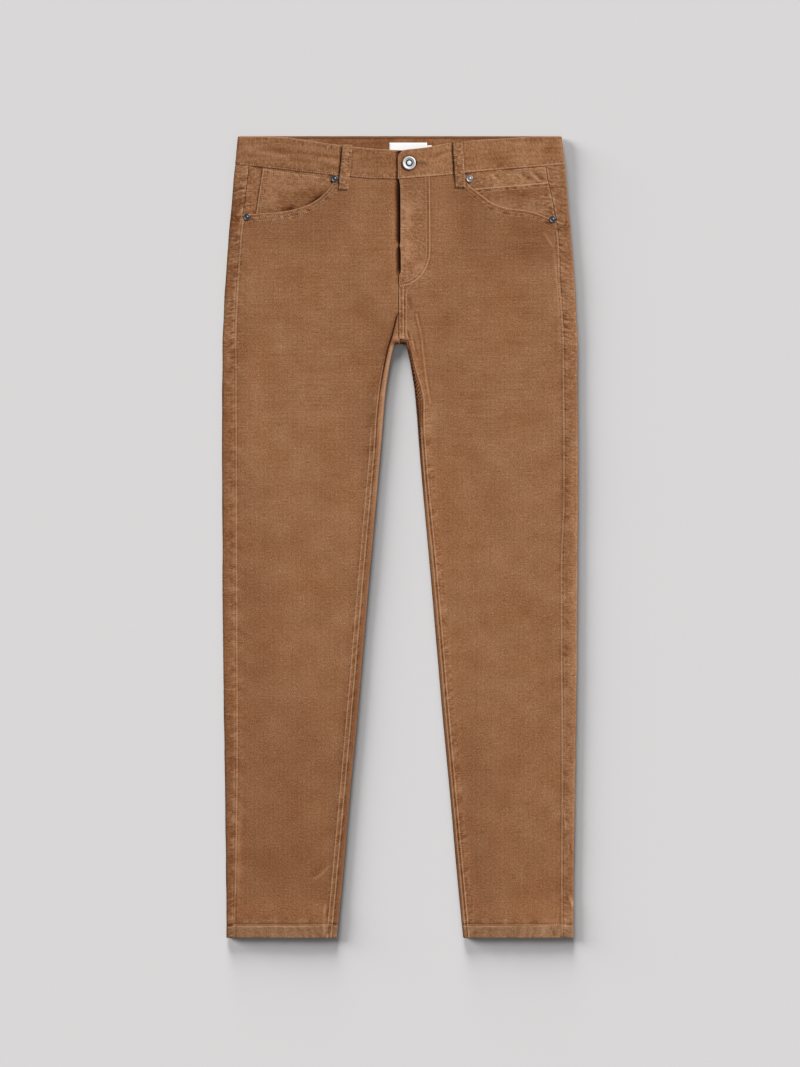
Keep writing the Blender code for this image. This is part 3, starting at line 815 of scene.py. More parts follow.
class Graph:
    """A material's node tree, with short ways to add to it."""

    def __init__(self, name: str) -> None:
        """Starts a material with its shader and output.

        Args:
            name: The material's name.
        """
        self.material = bpy.data.materials.new(name)
        self.material.use_nodes = True
        self.tree = self.material.node_tree
        self.shader = self.tree.nodes["Principled BSDF"]

    def node(self, kind: str, *inputs: object, **settings: object) -> bpy.types.Node:
        """Adds a node: its inputs in order are sockets to link, values, or None to leave as they are.

        Args:
            kind: The node's type.
            inputs: What its inputs get.
            settings: Its own settings.

        Returns:
            The node.
        """
        made = self.tree.nodes.new(kind)
        for key, value in settings.items():
            setattr(made, key, value)
        for socket, value in zip([s for s in made.inputs if s.enabled], inputs):
            feed(self.tree, socket, value)
        return made

    def math(self, operation: str, *values: object) -> Socket:
        """A sum on one to three values."""
        return self.node("ShaderNodeMath", *values, operation=operation).outputs[0]

    def noise(
        self, vector: Socket, scale: float, detail: float = 0.0, roughness: float = 0.5
    ) -> Socket:
        """Soft noise from 0 to 1.

        Args:
            vector: Where it is read.
            scale: How fine it is.
            detail: How many finer layers it has.
            roughness: How strong they are.

        Returns:
            The node's output.
        """
        made = self.node("ShaderNodeTexNoise")
        values = {"Vector": vector, "Scale": scale, "Detail": detail, "Roughness": roughness}
        for key, value in values.items():
            feed(self.tree, made.inputs[key], value)
        return made.outputs["Fac"]

    def ramp(self, value: Socket, low: float, high: float) -> Socket:
        """0 to 1 between two values, and level outside them."""
        return self.node("ShaderNodeMapRange", value, low, high, 0.0, 1.0).outputs[0]

    def mix(self, share: object, a: object, b: object) -> Socket:
        """A mix of two colours.

        Args:
            share: How much of the second.
            a: The first colour.
            b: The second colour.

        Returns:
            The node's output.
        """
        made = self.node("ShaderNodeMix", data_type="RGBA")
        for index, value in ((0, share), (6, a), (7, b)):
            feed(self.tree, made.inputs[index], value)
        return made.outputs[2]

    def set(self, **values: object) -> None:
        """Sets or links the shader's sockets, whose names have _ for a space.

        Args:
            values: What each socket gets.
        """
        for key, value in values.items():
            socket = self.shader.inputs[key.replace("_", " ").title().replace("Ior", "IOR")]
            feed(self.tree, socket, value)

    def bump(self, height: Socket, distance: float) -> None:
        """Gives the shader its fine relief.

        Args:
            height: The relief's height.
            distance: How far it stands out.
        """
        made = self.node("ShaderNodeBump")
        for key, value in (("Distance", distance), ("Height", height)):
            feed(self.tree, made.inputs[key], value)
        feed(self.tree, self.shader.inputs["Normal"], made.outputs[0])


def opaque(colour: Sequence[float]) -> tuple[float, ...]:
    """A colour with full alpha."""
    return (*colour, 1.0)


@dataclass(frozen=True)
class Corduroy:
    """Brushed fine corduroy: wales, nap, slubs and rubbed places, with light and shade painted on its edges,
    grooves and gaps.
    """

    name: str = "brushed corduroy"
    colour: tuple[float, float, float] = (0.304, 0.1342, 0.0576)
    grey: tuple[float, float, float] = (0.297, 0.1348, 0.0592)
    # the rubbed colour is rubbed pile and painted highlight, the deep one dye deep in the seams and painted
    # shade, the darkest one painted shadow in gaps
    rubbed: tuple[float, float, float] = (0.52, 0.278, 0.155)
    deep: tuple[float, float, float] = (0.05, 0.014, 0.004)
    pit: tuple[float, float, float] = (0.013, 0.004, 0.002)
    wale: float = 0.00165
    hem: tuple[float, float] = (1.0235, 1.0265)
    hem_paling: float = 0.3
    relief: float = 0.00045
    roughness: float = 0.92
    gloss: float = 0.15
    sheen: float = 0.12
    sheen_tint: tuple[float, float, float] = (1.0, 0.82, 0.66)

    # size across and along the wales, detail and roughness
    PATTERNS = (
        (0.00045, 0.0014, 2.0, 0.7),  # nap
        (0.0012, 0.0012, 1.0, 0.6),  # fleck
        (0.0021, 0.0023, 2.0, 0.8),  # grain
        (0.0095, 0.0013, 1.0, 0.5),  # slub
        (0.065, 0.0019, 1.0, 0.5),  # course
        (0.006, 0.06, 2.0, 0.6),  # stripe
        (0.036, 0.032, 3.0, 0.55),  # cloud
        (0.11, 0.13, 1.0, 0.5),  # haze
        (0.05, 0.07, 2.0, 0.5),  # hue
    )
    # what the grain, fleck, nap, stripe, cloud, haze and wale add to the shade
    WEIGHTS = (1.75, 1.95, 0.33, 0.13, 0.62, 0.36, 0.1)

    def build(self) -> Material:
        """Makes the material. It follows each piece's own weave.

        Returns:
            The material.
        """
        g = Graph(self.name)
        weave = g.node("ShaderNodeUVMap", uv_map="weave").outputs[0]

        def scaled(x: float, y: float) -> Socket:
            """The weave's places over a pattern's size across and along the wales."""
            size = (1 / x, 1 / y, 1.0)
            return g.node("ShaderNodeVectorMath", weave, size, operation="MULTIPLY").outputs[0]

        across = g.node("ShaderNodeSeparateXYZ", weave).outputs[0]
        wander = g.noise(scaled(0.012, 0.05), 1.0, 1.0)
        bent = g.math("MULTIPLY_ADD", wander, 0.001, across)
        wave = g.math("COSINE", g.math("MULTIPLY", bent, 2 * math.pi / self.wale))
        wale = g.math("POWER", g.math("MULTIPLY_ADD", wave, 0.5, 0.5), 0.6)
        nap, fleck, grain, slub, course, stripe, cloud, haze, hue = (
            g.noise(scaled(wide, long), 1.0, detail, rough) for wide, long, detail, rough in self.PATTERNS
        )

        crumple = g.node("ShaderNodeAttribute", attribute_name="crumple").outputs["Fac"]
        # fine creases where the crumple attribute is high: a bump, and their light and shade painted into the
        # colour
        creases = g.noise(scaled(0.0058, 0.0027), 1.0, 2.0, 0.6)
        crease_bump_and_painted_shade = g.math("MULTIPLY", g.math("SUBTRACT", creases, 0.5), crumple)
        lengthwise = g.node("ShaderNodeSeparateXYZ", weave).outputs[1]
        hem = g.ramp(lengthwise, *self.hem)
        shade = g.math("MULTIPLY_ADD", hem, self.hem_paling, g.math("MULTIPLY", crease_bump_and_painted_shade, 3.2))
        for value, weight in zip((grain, fleck, nap, stripe, cloud, haze, wale), self.WEIGHTS):
            shade = g.math("MULTIPLY_ADD", g.math("SUBTRACT", value, 0.5), weight, shade)
        shade = g.math("MULTIPLY_ADD", g.ramp(slub, 0.6, 0.74), -0.34, shade)
        shade = g.math("MULTIPLY_ADD", g.ramp(slub, 0.38, 0.27), 0.24, shade)
        marked = g.math("MULTIPLY_ADD", g.ramp(lengthwise, 0.52, 0.36), 0.36, 0.18)
        shade = g.math("MULTIPLY_ADD", g.math("SUBTRACT", course, 0.5), marked, shade)
        # the tone attribute makes a piece darker or paler; on the legs it also carries painted shade towards
        # the folds
        tone = g.node("ShaderNodeAttribute", attribute_name="tone").outputs["Fac"]
        shade = g.math("MULTIPLY_ADD", tone, 0.6, shade)
        base = g.mix(g.ramp(hue, 0.4, 0.68), opaque(self.colour), opaque(self.grey))
        base = g.node("ShaderNodeGamma", base, g.math("MULTIPLY_ADD", shade, -0.5, 1.0)).outputs[0]
        tone = g.math("MULTIPLY_ADD", hem, -self.hem_paling, g.math("MULTIPLY", tone, 0.45))
        paled = g.node("ShaderNodeVectorMath", base, operation="SCALE")
        feed(g.tree, paled.inputs["Scale"], g.math("EXPONENT", tone))
        colour = paled.outputs[0]
        # the wear attribute's light end mixes in rubbed pile and painted highlight, its dark end deep dye and
        # painted shade, and its darkest end painted shadow in gaps
        wear = g.node("ShaderNodeAttribute", attribute_name="wear").outputs["Fac"]
        broken = g.math("MULTIPLY_ADD", grain, 1.0, 0.5)
        rubbed = g.math("MULTIPLY", g.ramp(wear, 0.0, 1.0), broken)
        deep = g.math("MULTIPLY", g.ramp(wear, 0.0, -1.0), broken)
        colour = g.mix(rubbed, colour, opaque(self.rubbed))
        colour = g.node("ShaderNodeGamma", colour, g.math("MULTIPLY_ADD", deep, 0.5, 1.0)).outputs[0]
        colour = g.mix(g.math("MULTIPLY", deep, 0.45), colour, opaque(self.deep))
        colour = g.mix(g.ramp(wear, -0.85, -1.35), colour, opaque(self.pit))

        height = g.math("MULTIPLY", wale, 0.55)
        for value, weight in ((nap, 0.35), (grain, 0.45), (slub, -0.35), (crease_bump_and_painted_shade, 1.6)):
            height = g.math("ADD", height, g.math("MULTIPLY", value, weight))
        g.bump(height, self.relief)
        g.set(base_color=colour, roughness=self.roughness, specular_ior_level=self.gloss)
        g.set(sheen_weight=self.sheen, sheen_roughness=0.5, sheen_tint=opaque(self.sheen_tint))
        return g.material


@dataclass(frozen=True)
class SewingThread:
    """Twisted sewing thread."""

    name: str = "sewing thread"
    colour: tuple[float, float, float] = (0.62, 0.36, 0.195)

    def build(self) -> Material:
        """Makes the material.

        Returns:
            The material.
        """
        g = Graph(self.name)
        place = g.node("ShaderNodeTexCoord").outputs["Object"]
        fuzz = g.noise(place, 1800.0, 2.0)
        shade = g.mix(fuzz, opaque([c * 0.75 for c in self.colour]), opaque([c * 1.2 for c in self.colour]))
        g.set(base_color=shade, roughness=0.7)
        return g.material


@dataclass(frozen=True)
class LabelCloth:
    """Close white ribbon."""

    name: str = "label ribbon"
    colour: tuple[float, float, float] = (0.975, 0.99, 0.985)

    def build(self) -> Material:
        """Makes the material.

        Returns:
            The material.
        """
        g = Graph(self.name)
        weave = g.node("ShaderNodeUVMap", uv_map="weave").outputs[0]
        size = g.node("ShaderNodeVectorMath", weave, (2600.0, 1700.0, 1.0), operation="MULTIPLY").outputs[0]
        thread = g.noise(size, 1.0, 1.0)
        shade = g.mix(thread, opaque([c * 0.95 for c in self.colour]), opaque(self.colour))
        g.bump(thread, 0.00008)
        g.set(base_color=shade, roughness=0.62)
        return g.material


@dataclass(frozen=True)
class Metal:
    """Brushed metal with fine scratches."""

    name: str
    colour: tuple[float, float, float]
    roughness: float
    metallic: float = 1.0

    def build(self) -> Material:
        """Makes the material.

        Returns:
            The material.
        """
        g = Graph(self.name)
        place = g.node("ShaderNodeTexCoord").outputs["Object"]
        scratch = g.noise(place, 1500.0, 3.0, 0.7)
        stain = g.noise(place, 420.0, 2.0)
        shade = g.mix(stain, opaque([c * 0.72 for c in self.colour]), opaque(self.colour))
        rough = g.math("MULTIPLY_ADD", scratch, 0.22, self.roughness)
        g.set(base_color=shade, roughness=rough, metallic=self.metallic)
        return g.material


@dataclass(frozen=True)
class Paper:
    """The plain surface that carries the garment."""

    name: str = "pale surface"
    colour: tuple[float, float, float] = (0.4, 0.393, 0.393)

    def build(self) -> Material:
        """Makes the material.

        Returns:
            The material.
        """
        g = Graph(self.name)
        g.set(base_color=opaque(self.colour), roughness=1.0, specular_ior_level=0.0)
        return g.material


# Sewing


class SewingTree:
    """Geometry Nodes that sew a row of stitches along lines, or lay a cord of thread on them."""

    def __init__(self, name: str) -> None:
        """Starts a tree with geometry in and out.

        Args:
            name: The tree's name.
        """
        self.tree = bpy.data.node_groups.new(name, "GeometryNodeTree")
        self.tree.interface.new_socket("Geometry", in_out="INPUT", socket_type="NodeSocketGeometry")
        self.tree.interface.new_socket("Geometry", in_out="OUTPUT", socket_type="NodeSocketGeometry")
        self.start = self.tree.nodes.new("NodeGroupInput")
        self.end = self.tree.nodes.new("NodeGroupOutput")

    def size(self, name: str, value: float, kind: str = "NodeSocketFloat") -> None:
        """Adds a named input."""
        made = self.tree.interface.new_socket(name, in_out="INPUT", socket_type=kind)
        feed(self.tree, made, value)

    def add(self, kind: str, links: dict[str, object], **settings: object) -> bpy.types.Node:
        """Adds a node, with its named inputs linked to sockets or set to values.

        Args:
            kind: The node's type.
            links: What its named inputs get.
            settings: Its own settings.

        Returns:
            The node.
        """
        made = self.tree.nodes.new(kind)
        for key, value in settings.items():
            setattr(made, key, value)
        for key, value in links.items():
            feed(self.tree, next(s for s in made.inputs if s.name == key and s.enabled), value)
        return made

    def given(self, name: str) -> Socket:
        """The tree's own input of that name."""
        return self.start.outputs[name]

    def finish(self, geometry: Socket) -> bpy.types.NodeTree:
        """Ends the tree with smooth faces, plain geometry and the thread's finish.

        Args:
            geometry: What has been made.

        Returns:
            The finished tree.
        """
        plain = self.add("GeometryNodeRealizeInstances", {"Geometry": geometry})
        smooth = self.add("GeometryNodeSetShadeSmooth", {"Geometry": plain.outputs[0]})
        dressed = self.add(
            "GeometryNodeSetMaterial", {"Geometry": smooth.outputs[0], "Material": self.given("Thread")}
        )
        self.tree.links.new(dressed.outputs[0], self.end.inputs[0])
        return self.tree


def stitch_tree() -> bpy.types.NodeTree:
    """Separate stitches along lines: each a small spindle that dips into the cloth at both ends.

    Returns:
        The finished tree.
    """
    t = SewingTree("stitches")
    for name, value in (("Pitch", 0.0028), ("Length", 0.0021), ("Thickness", 0.0009), ("Unevenness", 0.18)):
        t.size(name, value)
    t.size("Seed", 1, "NodeSocketInt")
    t.size("Thread", None, "NodeSocketMaterial")
    curve = t.add("GeometryNodeMeshToCurve", {"Mesh": t.given("Geometry")})
    line = t.add(
        "GeometryNodeResampleCurve",
        {"Curve": curve.outputs[0], "Length": t.given("Pitch")},
        mode="LENGTH",
    )
    tangent = t.add("GeometryNodeInputTangent", {})
    turn = t.add("FunctionNodeAlignRotationToVector", {"Vector": tangent.outputs[0]}, axis="X")
    lean = t.add("FunctionNodeRandomValue", {"Seed": t.given("Seed")}, data_type="FLOAT_VECTOR")
    wide = t.add("ShaderNodeVectorMath", {"Vector": lean.outputs[0]}, operation="SUBTRACT")
    wide.inputs[1].default_value = (0.5, 0.5, 0.5)
    swing = t.add("ShaderNodeVectorMath", {"Vector": wide.outputs[0]}, operation="SCALE")
    t.tree.links.new(t.given("Unevenness"), swing.inputs["Scale"])
    rotate = t.add("FunctionNodeEulerToRotation", {"Euler": swing.outputs[0]})
    both = t.add("FunctionNodeRotateRotation", {"Rotation": turn.outputs[0], "Rotate By": rotate.outputs[0]})
    ball = t.add("GeometryNodeMeshUVSphere", {"Segments": 6, "Rings": 4, "Radius": 0.5})
    size = t.add(
        "ShaderNodeCombineXYZ",
        {"X": t.given("Length"), "Y": t.given("Thickness"), "Z": t.given("Thickness")},
    )
    spindle = t.add("GeometryNodeTransform", {"Geometry": ball.outputs[0], "Scale": size.outputs[0]})
    laid = t.add(
        "GeometryNodeInstanceOnPoints",
        {"Points": line.outputs[0], "Instance": spindle.outputs[0], "Rotation": both.outputs[0]},
    )
    return t.finish(laid.outputs[0])


def cord_tree() -> bpy.types.NodeTree:
    """A cord of close thread along lines, for bar tacks and the buttonhole's edge.

    Returns:
        The finished tree.
    """
    t = SewingTree("thread cord")
    t.size("Thickness", 0.0005)
    t.size("Thread", None, "NodeSocketMaterial")
    curve = t.add("GeometryNodeMeshToCurve", {"Mesh": t.given("Geometry")})
    half = t.add("ShaderNodeMath", {}, operation="MULTIPLY")
    t.tree.links.new(t.given("Thickness"), half.inputs[0])
    half.inputs[1].default_value = 0.5
    ring = t.add("GeometryNodeCurvePrimitiveCircle", {"Resolution": 5, "Radius": half.outputs[0]})
    tube = t.add(
        "GeometryNodeCurveToMesh",
        {"Curve": curve.outputs[0], "Profile Curve": ring.outputs[0], "Fill Caps": True},
    )
    return t.finish(tube.outputs[0])


@dataclass
class Sewing:
    """Collects lines of thread by the place that they sew, and then sews them."""

    thread: Material

    def __post_init__(self) -> None:
        """Makes the two trees and an empty book of lines."""
        self.trees = {Thread.STITCHES: stitch_tree(), Thread.CORD: cord_tree()}
        self.book: dict[tuple[str, Thread], list[Array]] = {}

    def stitch(self, place: str, points: Array) -> None:
        """Notes a line of stitches through points in space."""
        self.book.setdefault((place, Thread.STITCHES), []).append(points)

    def tack(self, place: str, points: Array) -> None:
        """Notes a cord of close thread through points in space."""
        self.book.setdefault((place, Thread.CORD), []).append(points)

    def sew(self) -> list[Object]:
        """Makes one piece of each place's lines.

        Returns:
            The pieces.
        """
        made = []
        in_order = sorted(self.book.items(), key=lambda item: (item[0][0], item[0][1].value))
        for number, ((place, kind), lines) in enumerate(in_order):
            ends = np.cumsum([0, *[len(line) for line in lines]])
            edges = [(i, i + 1) for a, b in zip(ends, ends[1:]) for i in range(a, b - 1)]
            name = f"{kind.value}_{place}"
            row = shown(name, mesh_of(name, np.concatenate(lines).tolist(), [], edges))
            sewn = row.modifiers.new("sewing", "NODES")
            sewn.node_group = self.trees[kind]
            for item in self.trees[kind].interface.items_tree:
                if item.in_out == "INPUT" and item.name == "Seed":
                    sewn[item.identifier] = 11 + number
                if item.in_out == "INPUT" and item.name == "Thread":
                    sewn[item.identifier] = self.thread
            made.append(evaluated(row))
        return made


def zigzag(start: Array, end: Array, width: float, pitch: float, up: Sequence[float] = (0, 0, 1)) -> Array:
    """Points of a close zigzag between two points in space.

    Args:
        start: Where it begins.
        end: Where it ends.
        width: How wide it swings.
        pitch: How far apart its points lie.
        up: The way that the cloth faces.

    Returns:
        The points in order.
    """
    start, end = np.array(start, float), np.array(end, float)
    way = end - start
    length = float(np.linalg.norm(way))
    sideways = np.cross(np.array(up, float), way / length)
    count = max(3, int(length / pitch))
    shares = np.linspace(0, 1, count)[:, None]
    swing = np.where(np.arange(count) % 2, 0.5, -0.5)[:, None]
    return start + way * shares + sideways * swing * width


# The front face


FLY_STITCH = smooth_line(
    metres(
        (378, 545), (384, 1000), (385, 1490), (372, 1605), (341, 1698), (288, 1790), (220, 1863),
        (120, 1925), (4, 1952),
    )
)
FELL_RIDGE = smooth_line(
    metres(
        (165, 1935), (105, 1985), (84, 2060), (81, 2260), (81, 2540), (105, 2640),
    )
)
INSEAM_RIDGE = smooth_line(
    metres(
        (210, 2320), (250, 2480), (276, 2607), (302, 2808), (328, 3068), (393, 3471),
    )
)

# each fold's last number is the light or shade painted on it
FACE_FOLDS = {
    Side.RIGHT: folds(
        (1160, 9700, 880, 9455, 5, 8, 12, 0.6), (1185, 9660, 960, 9430, -5, 40, 0, -0.15),
        (2100, 8700, 2120, 10000, 4, 32, 0, 0.24), (930, 10190, 945, 10420, -7, 16, 0, -0.4),
        (990, 10200, 985, 10420, 4, 22, 0, 0.3), (915, 10000, 960, 10190, -5, 14, 10, -0.24),
        (960, 9960, 990, 10150, 5, 14, 10, 0.45), (300, 2500, 700, 2200, -5, 90, 40, -0.05),
        (150, 2250, 600, 1900, 4, 80, 30, 0.05), (1500, 6200, 900, 6350, -4, 120, 60, -0.04),
        (2000, 5900, 1300, 5750, 4, 130, -50, 0.04), (850, 1000, 500, 1500, -3, 100, 40, -0.03),
    ),
    Side.LEFT: folds(
        (1850, 1215, 2010, 1480, 6, 18, -10, 0.3), (1990, 1440, 2075, 2150, 5, 18, -10, 0.22),
        (1650, 1120, 1560, 1680, -7, 130, 40, -0.08), (1985, 10280, 2000, 10425, -9, 15, 0, -0.45),
        (1860, 10275, 1830, 10425, 6, 22, 0, 0.35), (2190, 9850, 2275, 10120, 7, 14, 0, 0.85),
        (2120, 9750, 2230, 10120, -5, 26, 0, -0.2), (2125, 8750, 2165, 9090, 6, 12, 0, 0.55),
        (2200, 9150, 2230, 9350, -5, 12, 0, -0.4), (95, 2050, 150, 2300, -5, 28, 10, -0.26),
        (74, 2430, 205, 2860, 6, 11, 10, 0.5), (102, 2500, 132, 2650, -8, 10, 0, -0.85),
        (168, 2580, 225, 2880, -4, 16, 0, -0.3), (350, 2600, 800, 2350, -5, 90, 40, -0.05),
        (980, 9020, 1120, 9022, 3, 12, 0, 0.15), (980, 9045, 1130, 9048, -3, 12, 0, -0.2),
        (1900, 6000, 1100, 6150, -4, 130, 60, -0.04), (800, 5600, 1500, 5500, 4, 130, 50, 0.04),
    ),
}


@dataclass
class Face:
    """The small forms of the front face, which every piece on it shares."""

    stitch_depth: float = 0.00034
    stitch_width: float = 0.001
    mouth_rows: tuple[float, float] = (0.0045, 0.009)
    fell_rows: tuple[float] = (0.0043,)
    side_row: float = 0.0024
    fly_row: float = 0.0043
    flap_rise: float = 0.0014
    flap_row: float = 0.0028
    flap_sewn: tuple[float, float] = (0.059, 0.188)
    flap_points: int = 90
    fell_sewn: tuple[float, float] = (0.197, 0.261)
    fell_points: int = 60
    hem_row: float = 0.0178
    side_gathers: float = 0.0003
    inseam_gathers: float = 0.0003
    shin_depth: float = -0.18

    # how far from the inseam its light ridges lie
    INSEAM_ROWS = {Side.RIGHT: (0.0019, 0.0072), Side.LEFT: (0.0019, -0.0024)}

    def mouth_line(self, side: Side) -> Line:
        """The pocket mouth's edge as a fine line."""
        across = np.concatenate([np.linspace(0.0832, 0.106, 24), np.linspace(0.107, 0.21, 60)])
        return np.column_stack([across, FORM.mouth[side](across)])

    def sink(self, side: Side, across: Array, down: Array) -> Array:
        """How far the right front and its tongue lie under the left one's lap.

        Args:
            side: The wearer's side.
            across: Places across.
            down: Places down.

        Returns:
            Depths.
        """
        if side is Side.LEFT:
            return np.zeros(np.broadcast(across, down).shape)
        under = 1 - ease(across, 0.003, 0.014)
        fly = FORM.fly_step * under * (1 - ease(down, FORM.fly_end - 0.004, FORM.fly_end + 0.01))
        seam = 0.0013 * (1 - ease(across, 0.0012, 0.005)) * (1 - ease(down, 0.26, 0.266))
        return np.maximum(fly, seam) * (1 - FORM.waist_share(side, across, down))

    def relief(self, side: Side, across: Array, down: Array) -> Relief:
        """The small forms at places on one side.

        Args:
            side: The wearer's side.
            across: Places across.
            down: Places down.

        Returns:
            The forms there.
        """
        r = Relief(across, down)
        across, down = r.across, r.down
        left = side is Side.LEFT
        key = 1 if left else 0
        r.add(0.0005 * Unevenness(21 + key)(across / 0.042, down / 0.11))
        r.add(0.00018 * Unevenness(23 + key)(across / 0.013, down / 0.036))
        for fold in FACE_FOLDS[side]:
            r.fold(fold)
        self.side_seam(r, side)
        self.inseam(r, side)
        self.pocket(r, side)
        self.fly(r, side)
        self.crotch(r, side)
        self.hem(r, side)
        return r

    def side_seam(self, r: Relief, side: Side) -> None:
        """Gathers along the side seam, its ridges and the row of stitches in front of it, with light and
        shade painted on them.

        Args:
            r: The forms to add to.
            side: The wearer's side.
        """
        to_seam = FORM.side_seam(side, r.down) - r.across
        upper, lower = 1 - ease(r.down, 0.26, 0.36), ease(r.down, 0.26, 0.32)
        depth = self.side_gathers * (0.75 + 0.55 * upper)
        behind = np.where(to_seam < 0, 1.0, 0.55)
        key = 31 if side is Side.LEFT else 35
        strong = (0.37 + 0.2 * upper) * np.where(to_seam < 0, 1.0, 0.4)
        r.puckers(to_seam, r.down, depth * behind, 0.0085, 0.0044, key, 0.35, strong)
        r.puckers(to_seam, r.down, depth * 0.9, 0.012, 0.0135, key + 1, -0.6, 0.18)
        r.crush((0.4 + 0.25 * upper) * np.where(to_seam < 0, 1.0, hump(to_seam, 0.0, 0.0065)))
        # painted shade on the right leg's outer fold, which turns away from the light
        rim = hump(FORM.outer(r.down) - r.across, 0.0, 0.005)
        r.add(0.0, (-0.06 if side is Side.RIGHT else 0.0) * rim)
        broken = 0.75 + 0.45 * Unevenness(key + 2)(r.down / 0.004, 0.5)
        broken = broken * np.clip(0.7 + 0.8 * Unevenness(key + 3)(r.down / 0.036, 0.5), 0.1, 1.25)
        # dark lines are painted shade in the seam's grooves, and light lines a painted highlight, partly
        # rubbing, on its ridges
        if side is Side.RIGHT:
            above = 1 - ease(r.down, 0.098, 0.108)
            r.groove(to_seam, 0.0001, 0.0005, 0.16 - 0.1 * above)
            fading = 0.68 - 0.24 * ease(r.down, 0.5, 0.75)
            r.groove(to_seam - 0.0011, -0.0002, 0.0011, -fading * broken)
            r.groove(to_seam - 0.0038, 0.0001, 0.0008, 0.22 * (1 - above))
            r.groove(to_seam + 0.003, -0.0001, 0.0012, -0.4 * broken * above)
            behind_seam = 1.0 * (to_seam < -0.0015)
            wavy = r.down - 0.0722 - 0.0009 * np.sin(r.across / 0.0024) + 0.25 * (to_seam + 0.008)
            r.groove(wavy, -0.0002 * behind_seam, 0.001, -0.6 * behind_seam)
            r.groove(wavy + 0.002, 0.0002 * behind_seam, 0.001, 0.42 * behind_seam)
            r.add(0.0, -0.07 * behind_seam)
        else:
            r.groove(to_seam, 0.0001, 0.0005, 0.18 - 0.12 * lower)
            r.groove(to_seam - 0.0014 - 0.001 * lower, -0.0002, 0.001, -(0.9 - 0.35 * lower) * broken)
            r.groove(to_seam - 0.003 - 0.001 * lower, 0.0001, 0.0009, 0.32 - 0.14 * lower)
            soft = ease(r.down, 0.15, 0.175) * (1 - ease(r.down, 0.25, 0.3))
            r.groove(to_seam - 0.005, -0.0002 * soft, 0.003, -0.26 * soft)
        level = 0.3 if side is Side.RIGHT else 0.3 + 0.35 * (1 - ease(r.down, 0.105, 0.125))
        r.groove(to_seam + 0.0012, -0.00015, 0.001, -level * broken)

    def inseam(self, r: Relief, side: Side) -> None:
        """The felled inseam: its ridges with painted light and the troughs beside them, painted shade and
        highlight where the legs part, and slanting gathers.

        Args:
            r: The forms to add to.
            side: The wearer's side.
        """
        from_seam = r.across - FORM.front_edge[side](r.down)
        low = ease(r.down, 0.34, 0.44)
        start = ease(r.down, 0.266, 0.3) * (0.45 + 0.55 * low)
        between = ease(from_seam, -0.003, 0.0) * (1 - ease(from_seam, 0.008, 0.012)) * start
        slant = 0.7 if side is Side.LEFT else -0.7
        noise = Unevenness(41)((r.down + slant * from_seam) / 0.0024, from_seam / 0.012 + 9)
        r.add(self.inseam_gathers * 0.8 * noise * between, 0.32 * noise * between)
        r.crush(0.65 * between)
        broken = 0.85 + 0.35 * Unevenness(42)(r.down / 0.004, 0.5)
        for row in self.INSEAM_ROWS[side]:
            r.groove(from_seam - row, -0.00015 * start, 0.0009, -0.44 * broken * start * low)
            dark = 0.14 if row > 0 else 0.0
            r.groove(from_seam - row - 0.002, 0.00012 * start, 0.0009, dark * start * low)
        # a painted highlight on the upper ridge, and painted shade along the seam's groove
        high = start * (1 - low)
        r.groove(from_seam - 0.0009, -0.00018 * high, 0.0009, -1.1 * high)
        r.groove(from_seam, 0.0, 0.0006, 0.85 * ease(r.down, 0.226, 0.24) * (1 - 0.7 * low))
        strip = -from_seam
        inside = ease(strip, 0.0004, 0.0025) * ease(r.down, 0.262, 0.275)
        upper = 1 - ease(r.down, 0.36, 0.43)
        edge = r.across - FORM.inner(r.down)
        open_leg = ease(r.down, 0.272, 0.28) * (1 - ease(r.down, 0.42, 0.5))
        if side is Side.RIGHT:
            # painted shadow in the gap along the vee, and a painted highlight on the right strip and its rim
            vee = ease(r.down, 0.222, 0.24) * (1 - ease(r.down, 0.3, 0.345))
            r.groove(from_seam - 0.0004, 0.0001 * vee, 0.0011, 1.05 * vee)
            r.groove(from_seam - 0.003, 0.0001 * vee, 0.0022, 0.18 * vee)
            rungs = np.cos(2 * math.pi * (r.down + 0.9 * strip) / 0.004)
            rungs = rungs + 1.2 * Unevenness(44)(r.down / 0.006, strip / 0.003)
            r.add((0.0002 + 0.00008 * rungs) * inside, (0.36 + 0.16 * rungs) * inside * upper)
            r.groove(edge - 0.0016, 0.0, 0.0014, -0.6 * open_leg)
        else:
            distance, _ = nearest(r.across, r.down, INSEAM_RIDGE)
            r.groove(distance, -0.0003, 0.0008, -0.5)
            r.groove(distance - 0.0026, 0.00018, 0.0014, 0.2)
            wander = 0.001 * Unevenness(43)(r.down / 0.006, strip / 0.004)
            ribs = np.cos(2 * math.pi * (r.down - 1.3 * strip + wander) / 0.0043)
            ribs = ribs * ease(r.down, 0.268, 0.278)
            # the left strip turns away from the light: painted shade with ribs on it, and a painted black
            # edge
            shade = inside * upper
            r.add((0.0005 * ribs - 0.0011 * ease(strip, 0.0, 0.006)) * shade, (0.78 * ribs - 0.52) * shade)
            r.add(0.0, -1.4 * (1 - ease(edge, 0.0021, 0.0036)) * open_leg)
        r.add(0.0, -0.14 * ease(strip, 0.0004, 0.0025) * ease(r.down, 0.44, 0.6))

    def pocket(self, r: Relief, side: Side) -> None:
        """The pocket mouth's turned edge and its two rows of stitches.

        Args:
            r: The forms to add to.
            side: The wearer's side.
        """
        inside = r.across > FORM.mouth_start[side]
        distance, along = nearest(r.across, r.down, self.mouth_line(side))
        distance = np.where(inside & (r.down < FORM.mouth[side](r.across)), -distance, distance)
        reach = 1 - ease(r.across, FORM.side_seam(side, r.down).max() - 0.006, 0.23)
        on = (r.down > FORM.band_seam[side](np.abs(r.across))) * reach
